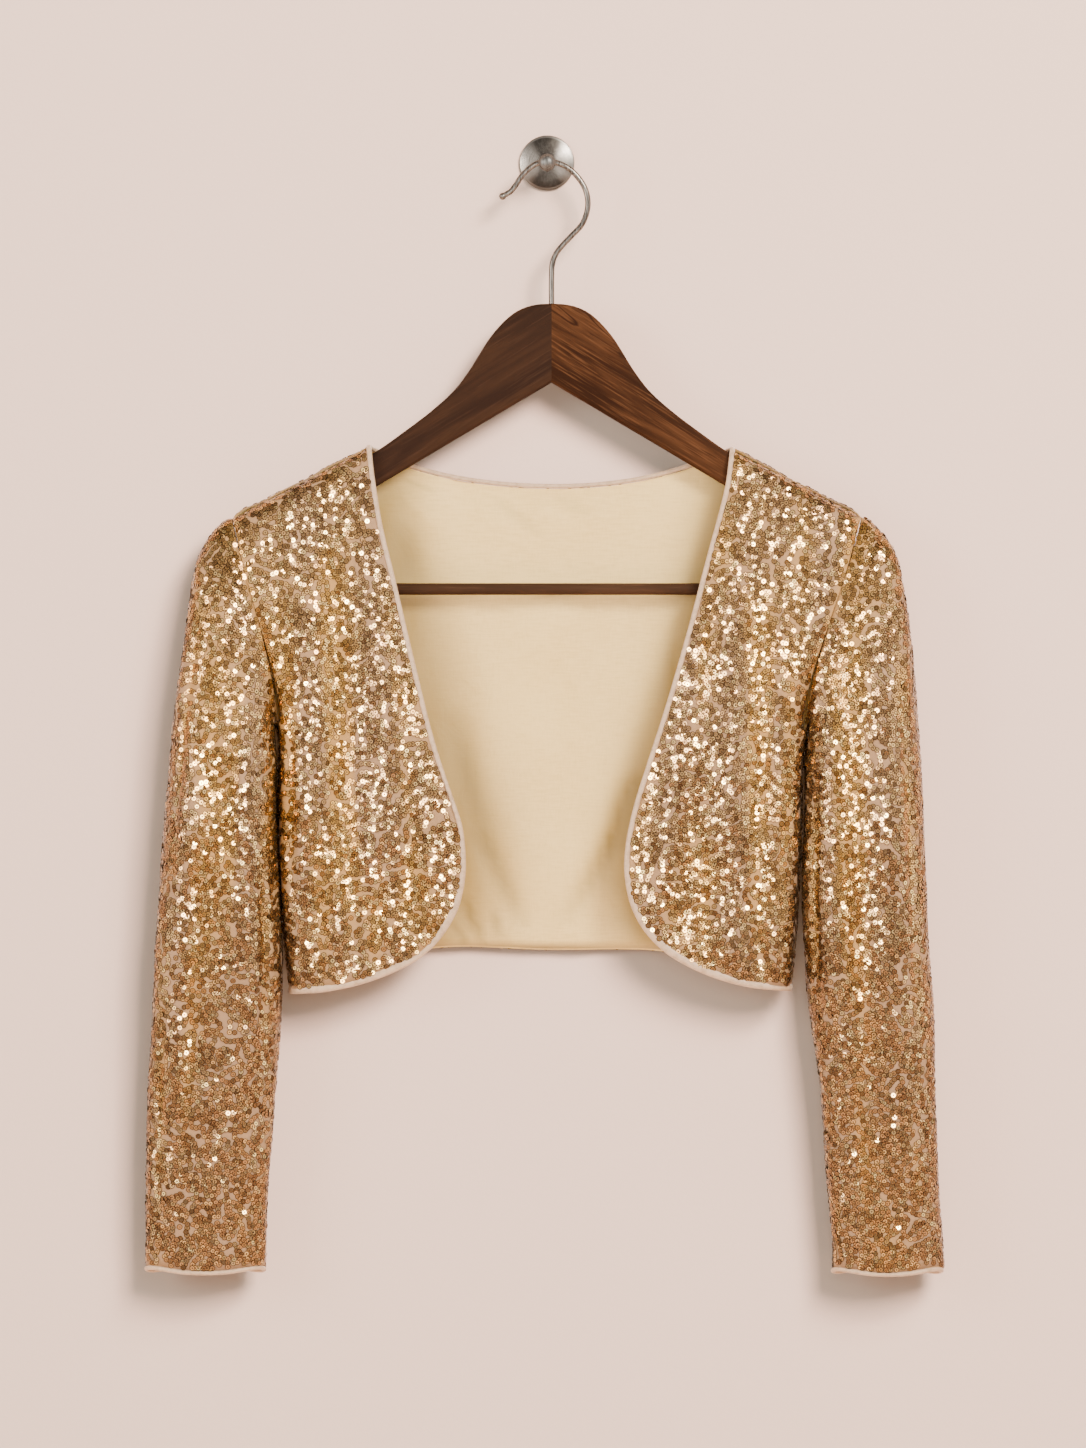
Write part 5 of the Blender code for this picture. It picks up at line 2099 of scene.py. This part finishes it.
@dataclass
class Hanger:
    """The wooden hanger with its bar and wire hook."""

    steel: Material
    middle_x: float = 3.1
    middle_y: float = -26.0
    thickness: float = 12.0
    edge_radius: float = 2.6
    bar_z: float = -296.0
    bar_radius: float = 4.0
    bar_half: float = 193.7
    wire_radius: float = 1.9
    bead_start: float = -0.78
    bead_end: float = 1.5
    bead_rings: int = 14
    bead_sink: float = 0.1
    outline_points: tuple[int, ...] = (60, 48, 16)
    wire_points: int = 150
    rim_ease: float = 0.5
    bead_radius: float = 2.5
    sharp_degrees: float = 35.0
    joint_reach: float = 1.0
    arm_top: tuple[Point, ...] = table_of(
        Point, (0, -99.2), (10, -99.8), (19.5, -102.3), (28, -107.2), (41, -120.7), (57, -145.7),
        (66.7, -158.5), (80.6, -171.4), (100.4, -186.6), (126, -204.2), (190, -236.6),
    )
    arm_tip: tuple[Point, ...] = table_of(
        Point, (190, -236.6), (202, -245), (207, -258), (208, -276), (207, -300), (202, -306),
        (193, -306), (188, -300),
    )
    arm_crook: tuple[Point, ...] = table_of(Point, (188, -284), (186, -270), (176, -257.5))
    arm_underside: tuple[Point, ...] = table_of(Point, (121.2, -225.5), (0, -153.5))
    wire: tuple[Point, ...] = table_of(
        Point, (3.1, -100.6), (3.1, -97), (3.1, -82), (3.6, -72), (6.2, -64.6), (11.2, -58.2),
        (17.3, -51.8), (23.7, -44.9), (27.3, -36.6), (28.2, -28.2), (25.9, -19), (20.3, -10.7),
        (13.8, -5), (6.9, -2), (0, -1), (-6.5, -2.2), (-12.1, -5.6), (-17.6, -11.2), (-21.7, -17.4),
        (-24.9, -21.4), (-28.8, -23.9),
    )

    def build(self) -> None:
        """Builds the arms, the bar and the wire."""
        even = WalnutFinish(
            "walnut_right_arm", 0.56, 0.3, 0.25,
            (0.021, 0.01, 0.006), (0.046, 0.021, 0.0105), (0.06, 0.0285, 0.0155),
        )
        rich = WalnutFinish(
            "walnut_left_arm", -0.56, 1.0, warm=(0.08, 0.0315, 0.0125), light=(0.14, 0.058, 0.024)
        )
        pale = WalnutFinish(
            "walnut_bar", 0.0, 0.2, 0.0,
            (0.04, 0.019, 0.01), (0.06, 0.029, 0.0155), (0.088, 0.044, 0.025),
        )
        self.build_arm(RIGHT, even.material())
        self.build_arm(LEFT, rich.material())
        self.build_bar(pale.material())
        self.build_wire()

    def build_arm(self, side: SideShape, wood: Material) -> None:
        """Cuts one arm from a flat outline and rounds its edges.

        Args:
            side: the wearer's side.
            wood: the arm's wood.
        """
        parts = zip((self.arm_top, self.arm_tip, self.arm_crook), self.outline_points)
        top, tip, crook = (even_line(rows, count) for rows, count in parts)
        flat = np.vstack([top, tip[1:], crook, self.arm_underside])
        flat[:, 0] = self.middle_x + side.sign * flat[:, 0]
        outline = stood(flat, self.middle_y - self.thickness / 2)
        arm = mesh_piece(f"hanger_{side.name}", outline, np.arange(len(outline))[None], [wood])
        move = {"value": (0.0, self.thickness * MM, 0.0)}
        with edit_mode(arm):
            bpy.ops.mesh.extrude_region_move(TRANSFORM_OT_translate=move)
        bpy.ops.object.mode_set(mode="EDIT")
        bpy.ops.mesh.select_mode(type="EDGE")
        bpy.ops.mesh.select_all(action="DESELECT")
        bpy.ops.object.mode_set(mode="OBJECT")
        for edge in arm.data.edges:
            ends = [arm.data.vertices[k].co for k in edge.vertices]
            at_joint = all(abs(end.x / MM - self.middle_x) < self.joint_reach for end in ends)
            edge.select = abs(ends[0].y - ends[1].y) < MM and not at_joint
        bpy.ops.object.mode_set(mode="EDIT")
        radius = self.edge_radius * MM
        bpy.ops.mesh.bevel(offset=radius, segments=5, affect="EDGES", clamp_overlap=True)
        bpy.ops.object.mode_set(mode="OBJECT")
        state_hard(arm, f"hanger_arm_{side.name}", self.sharp_degrees)

    def build_bar(self, wood: Material) -> None:
        """Turns the round bar between the arms' toes.

        Args:
            wood: the bar's wood.
        """
        deselect()
        bpy.ops.mesh.primitive_cylinder_add(
            vertices=32,
            radius=self.bar_radius * MM,
            depth=2 * self.bar_half * MM,
            location=(self.middle_x * MM, self.middle_y * MM, self.bar_z * MM),
            rotation=(0.0, math.pi / 2, 0.0),
        )
        bar = bpy.context.object
        bar.name = "hanger_rod"
        bpy.ops.object.transform_apply(location=True, rotation=True, scale=True)
        rim = bar.modifiers.new("eased_ends", "BEVEL")
        rim.width = self.rim_ease * MM
        rim.segments = 2
        rim.limit_method = "ANGLE"
        apply_modifiers(bar)
        bar.data.materials.append(wood)
        state_hard(bar, "hanger_bar", self.sharp_degrees)

    def build_wire(self) -> None:
        """Bends the wire hook, which ends in a small bead."""
        line = stood(even_line(self.wire, self.wire_points), self.middle_y)
        reach = self.bead_radius * (self.bead_sink - math.sin(self.bead_start))
        middle = line[-1] + unit(line[-1] - line[-2]) * reach
        bead = Ball(middle, self.bead_radius, self.bead_start, self.bead_end, self.bead_rings)
        wire = balled_wire("hanger_wire", line, self.wire_radius, bead, self.steel)
        state_hard(wire, "hanger_hook", WIRE_DEGREES)


@dataclass
class WallHook:
    """The steel plate on the wall, with a peg that ends in a ball."""

    plate_steel: Material
    peg_steel: Material
    radius: float = 19.0
    depth: float = 5.0
    rim_depth: float = 1.8
    peg_radius: float = 1.6
    ball_radius: float = 6.0
    ball_start: float = -1.12
    ball_end: float = 1.55
    ball_rings: int = 24
    neck_points: int = 18
    turn_steps: int = 128
    sharp_degrees: float = 20.0
    weld: float = 0.01
    ball: Triple = (0.0, -34.6, -2.3)
    neck: tuple[Span, ...] = (
        (-4.8, -5.2), (-12.0, -5.2), (-19.0, -5.0), (-26.0, -4.7), (-28.5, -4.3)
    )

    def build(self) -> None:
        """Builds the plate and the peg."""
        self.build_plate()
        self.build_peg()

    def build_plate(self) -> None:
        """Spins the plate's section round its middle: a shallow dome with an eased rim."""
        section = [(0.0, -self.depth), (5.0, -4.95), (9.0, -4.7), (12.0, -4.25), (15.0, -3.55)]
        section += [(self.radius - 1.0, -2.6), (self.radius - 0.3, -2.3)]
        section += [(self.radius, -self.rim_depth), (self.radius, 0.0), (0.0, 0.0)]
        points = np.array([(x, y, 0.0) for x, y in section])
        edges = np.stack([np.arange(len(points) - 1), np.arange(1, len(points))], axis=-1)
        mesh = bpy.data.meshes.new("wall_disc")
        mesh.from_pydata((points * MM).tolist(), edges.tolist(), [])
        plate = placed("wall_disc", mesh)
        whole_turn = {"angle": FULL_TURN, "center": (0.0, 0.0, 0.0), "axis": (0.0, 1.0, 0.0)}
        with edit_mode(plate):
            bpy.ops.mesh.spin(steps=self.turn_steps, **whole_turn)
            bpy.ops.mesh.select_all(action="SELECT")
            bpy.ops.mesh.remove_doubles(threshold=self.weld * MM)
        plate.data.materials.append(self.plate_steel)
        state_hard(plate, "wall_plate", self.sharp_degrees)

    def build_peg(self) -> None:
        """Turns the peg's neck up into the ball."""
        line = np.insert(even_line(self.neck, self.neck_points), 0, 0.0, axis=1)
        arc = (self.ball_start, self.ball_end, self.ball_rings)
        ball = Ball(np.array(self.ball), self.ball_radius, *arc)
        peg = balled_wire("wall_peg_ball", line, self.peg_radius, ball, self.peg_steel)
        state_hard(peg, "wall_peg", WIRE_DEGREES)


class Ball(NamedTuple):
    """The ball at a wire's end, which its rings cover between two heights given as angles."""

    middle: Array
    radius: float
    start: float
    end: float
    rings: int


def balled_wire(name: str, line: Line, radius: float, ball: Ball, steel: Material) -> Object:
    """Makes a round wire that ends in a ball.

    Args:
        name: the piece's name.
        line: the wire's middle line in millimetres.
        radius: the wire's radius.
        ball: the ball past its end.
        steel: its finish.

    Returns:
        The wire as a mesh.
    """
    shares = np.sin(np.linspace(ball.start, ball.end, ball.rings))
    end = ball.middle + unit(ball.middle - line[-1]) * ball.radius * shares[:, None]
    radii = [radius] * len(line) + list(ball.radius * np.sqrt(1 - shares**2))
    curve = bpy.data.curves.new(name, "CURVE")
    curve.dimensions = "3D"
    curve.bevel_depth = MM
    curve.bevel_resolution = 6
    curve.use_fill_caps = True
    spline = curve.splines.new("POLY")
    spline.points.add(len(radii) - 1)
    for point, place, width in zip(spline.points, np.vstack([line, end]), radii):
        point.co = (*(place * MM), 1.0)
        point.radius = width
    choose(placed(name, curve))
    bpy.ops.object.convert(target="MESH")
    wire = bpy.context.object
    with edit_mode(wire):
        bpy.ops.mesh.remove_doubles(threshold=WIRE_WELD * MM)
    wire.data.materials.clear()
    wire.data.materials.append(steel)
    return wire


class Lamp(NamedTuple):
    """A square lamp aimed at the jacket.

    It lights everything, or only the pieces whose names start with one of the words in lit.
    """

    name: str
    place: Triple
    size: float
    power: float
    colour: Colour
    lit: tuple[str, ...] = ()
    diffuse: bool = True


@dataclass
class Studio:
    """A pale wall and floor, soft light from the upper right, and the camera."""

    wall_colour: Colour = (0.34, 0.29, 0.247)
    floor_colour: Colour = (0.82, 0.665, 0.565)
    room_light: Colour = (1.0, 0.95, 0.89)
    room_dark: Colour = (0.3, 0.275, 0.25)
    room_strength: float = 1.1
    distance: float = 4.9956
    middle_x: float = -0.0028
    middle_y: float = -0.026
    middle_z: float = -0.3891
    stage_size: float = 9.0
    wall_y: float = 0.0006
    floor_y: float = -4.4
    floor_z: float = -1.35
    lens: float = 180.0
    sensor: float = 36.0
    far: float = 50.0
    target: Triple = (0.0, -0.03, -0.42)
    lamps: tuple[Lamp, ...] = (
        Lamp("key", (1.25, -2.05, 1.1), 0.75, 105.0, (1.0, 0.93, 0.84)),
        Lamp("wall_key", (2.1, -5.0, 2.15), 2.0, 1960.0, (1.0, 0.68, 0.58), ("studio_wall",)),
        Lamp("fill", (-1.95, -1.6, 0.05), 1.1, 50.0, (1.0, 0.94, 0.87)),
        Lamp("front", (0.08, -1.52, -0.31), 0.4, 6.5, (1.0, 0.95, 0.88)),
        Lamp("glint", (-0.05, -1.5, -0.35), 0.32, 15.5, (0.95, 1.0, 0.84), ("sequins",), False),
        Lamp("behind", (0.8, 2.2, 0.6), 1.2, 44.0, (1.0, 0.97, 0.94)),
        Lamp("back", (-0.7, 2.2, 0.1), 1.4, 70.0, (1.0, 0.97, 0.94), REAR_PIECES),
        Lamp("left_side", (1.85, -0.95, -0.3), 1.2, 11.0, (1.0, 0.97, 0.82), SIDE_PIECES),
        Lamp("right_side", (-1.85, -0.95, -0.3), 1.2, 7.0, (1.0, 0.97, 0.82), SIDE_PIECES),
    )

    def build(self) -> None:
        """Sets up the wall, the floor, the lights and the camera."""
        self.build_stage()
        for lamp in self.lamps:
            self.build_lamp(lamp)
        self.build_room()
        self.build_camera()

    def wall_material(self) -> Material:
        """Makes the wall's paint, which is clear from behind and lets the rear lamps' light in.

        Returns:
            The material.
        """
        shader = Shader.named("pale_wall")
        plaster = shader.noise(shader.place(), 240.0, 3.0)
        paint = shader.principled(
            Base_Color=self.wall_colour,
            Roughness=0.9,
            Specular_IOR_Level=0.1,
            Normal=shader.bump(plaster, 0.15, 0.0008),
        )
        clear = shader.node("ShaderNodeBsdfTransparent", {}, {})
        behind = shader.node("ShaderNodeNewGeometry", {}, {}, "Backfacing")
        unshaded = shader.node("ShaderNodeLightPath", {}, {}, "Is Shadow Ray")
        inputs = {0: behind | unshaded, 1: paint, 2: clear}
        return shader.output(shader.node("ShaderNodeMixShader", {}, inputs))

    def build_stage(self) -> None:
        """Puts up the wall and lays the floor."""
        paint = self.wall_material()
        floor = Shader.named("pale_floor").finish(Base_Color=self.floor_colour, Roughness=0.8)
        rise = self.floor_z + self.stage_size / 2
        self.flat_piece("studio_wall", (0.0, self.wall_y, rise), math.pi / 2, paint)
        self.flat_piece("studio_floor", (0.0, self.floor_y, self.floor_z), 0.0, floor)

    def flat_piece(self, name: str, place: Triple, tilt: float, material: Material) -> Object:
        """Adds a square of the stage, tilted about X.

        Args:
            name: the piece's name.
            place: its middle in metres.
            tilt: its turn in radians.
            material: its material.

        Returns:
            The piece.
        """
        deselect()
        bpy.ops.mesh.primitive_plane_add(
            size=self.stage_size, location=place, rotation=(tilt, 0.0, 0.0)
        )
        piece = bpy.context.object
        piece.name = name
        piece.data.materials.append(material)
        return piece

    def build_lamp(self, lamp: Lamp) -> None:
        """Hangs one lamp.

        Args:
            lamp: the lamp.
        """
        deselect()
        bpy.ops.object.light_add(type="AREA", location=lamp.place)
        light = bpy.context.object
        light.name = f"{lamp.name}_light"
        light.visible_camera = False
        light.visible_diffuse = lamp.diffuse
        if lamp.lit:
            light.light_linking.receiver_collection = self.pieces(lamp.lit)
        light.data.size = lamp.size
        light.data.energy = lamp.power
        light.data.color = lamp.colour
        x, y, z = np.array(lamp.place) - self.target
        light.rotation_euler = (math.atan2(math.hypot(x, y), z), 0.0, math.atan2(x, -y))

    def pieces(self, starts: tuple[str, ...]) -> Collection:
        """Lists the pieces whose names start in one of these ways.

        Args:
            starts: how the names start.

        Returns:
            Their collection.
        """
        listed = bpy.data.collections.new("lit_pieces")
        for obj in bpy.context.scene.objects:
            if obj.name.startswith(starts):
                listed.objects.link(obj)
        return listed

    def build_room(self) -> None:
        """Makes the room's light: brighter round the horizon than above and below."""
        world = bpy.data.worlds.new("soft_room")
        shader = Shader(world)
        way = shader.node("ShaderNodeTexCoord", {}, {}, "Generated")
        height, aside = shader.part(way, "Z"), shader.part(way, "X")
        ring = 1 - (height * height).step(0.01, 0.64)
        level = ring * (1 - (aside * aside).step(0.3, 0.9) * 0.15)
        colour = shader.mix(self.room_dark, self.room_light, level)
        inputs = {"Color": colour, "Strength": self.room_strength}
        sky = shader.node("ShaderNodeBackground", {}, inputs)
        shader.raw("ShaderNodeOutputWorld", {}, {"Surface": sky})
        bpy.context.scene.world = world

    def build_camera(self) -> None:
        """Places the camera straight in front, far enough for the photo's flat view."""
        deselect()
        place = (self.middle_x, self.middle_y - self.distance, self.middle_z)
        bpy.ops.object.camera_add(location=place, rotation=(math.pi / 2, 0.0, 0.0))
        camera = bpy.context.object
        camera.name = "front_camera"
        camera.data.lens = self.lens
        camera.data.sensor_width = self.sensor
        camera.data.clip_end = self.far
        bpy.context.scene.camera = camera


def main() -> None:
    """Builds the jacket, the hanger, the hook and the studio, in that order."""
    logging.basicConfig(level=logging.INFO, format="%(message)s")
    plate = SteelFinish("brushed_plate", Brushing.ROUND_THE_PLATE)
    wire = SteelFinish("brushed_wire", Brushing.ALONG_THE_WIRE)
    peg = SteelFinish(
        "satin_peg", Brushing.ALONG_THE_WIRE, 0.38, (0.26, 0.26, 0.25), (0.07, 0.068, 0.064)
    )
    Jacket(
        lining=LiningFinish().material(),
        net=NetFinish().material(),
        sequins=SequinWork(SequinFinish().material()),
        binding=Binding(BindingFinish().material()),
    ).build()
    Hanger(wire.material()).build()
    WallHook(plate.material(), peg.material()).build()
    Studio().build()


if __name__ == "__main__":
    main()
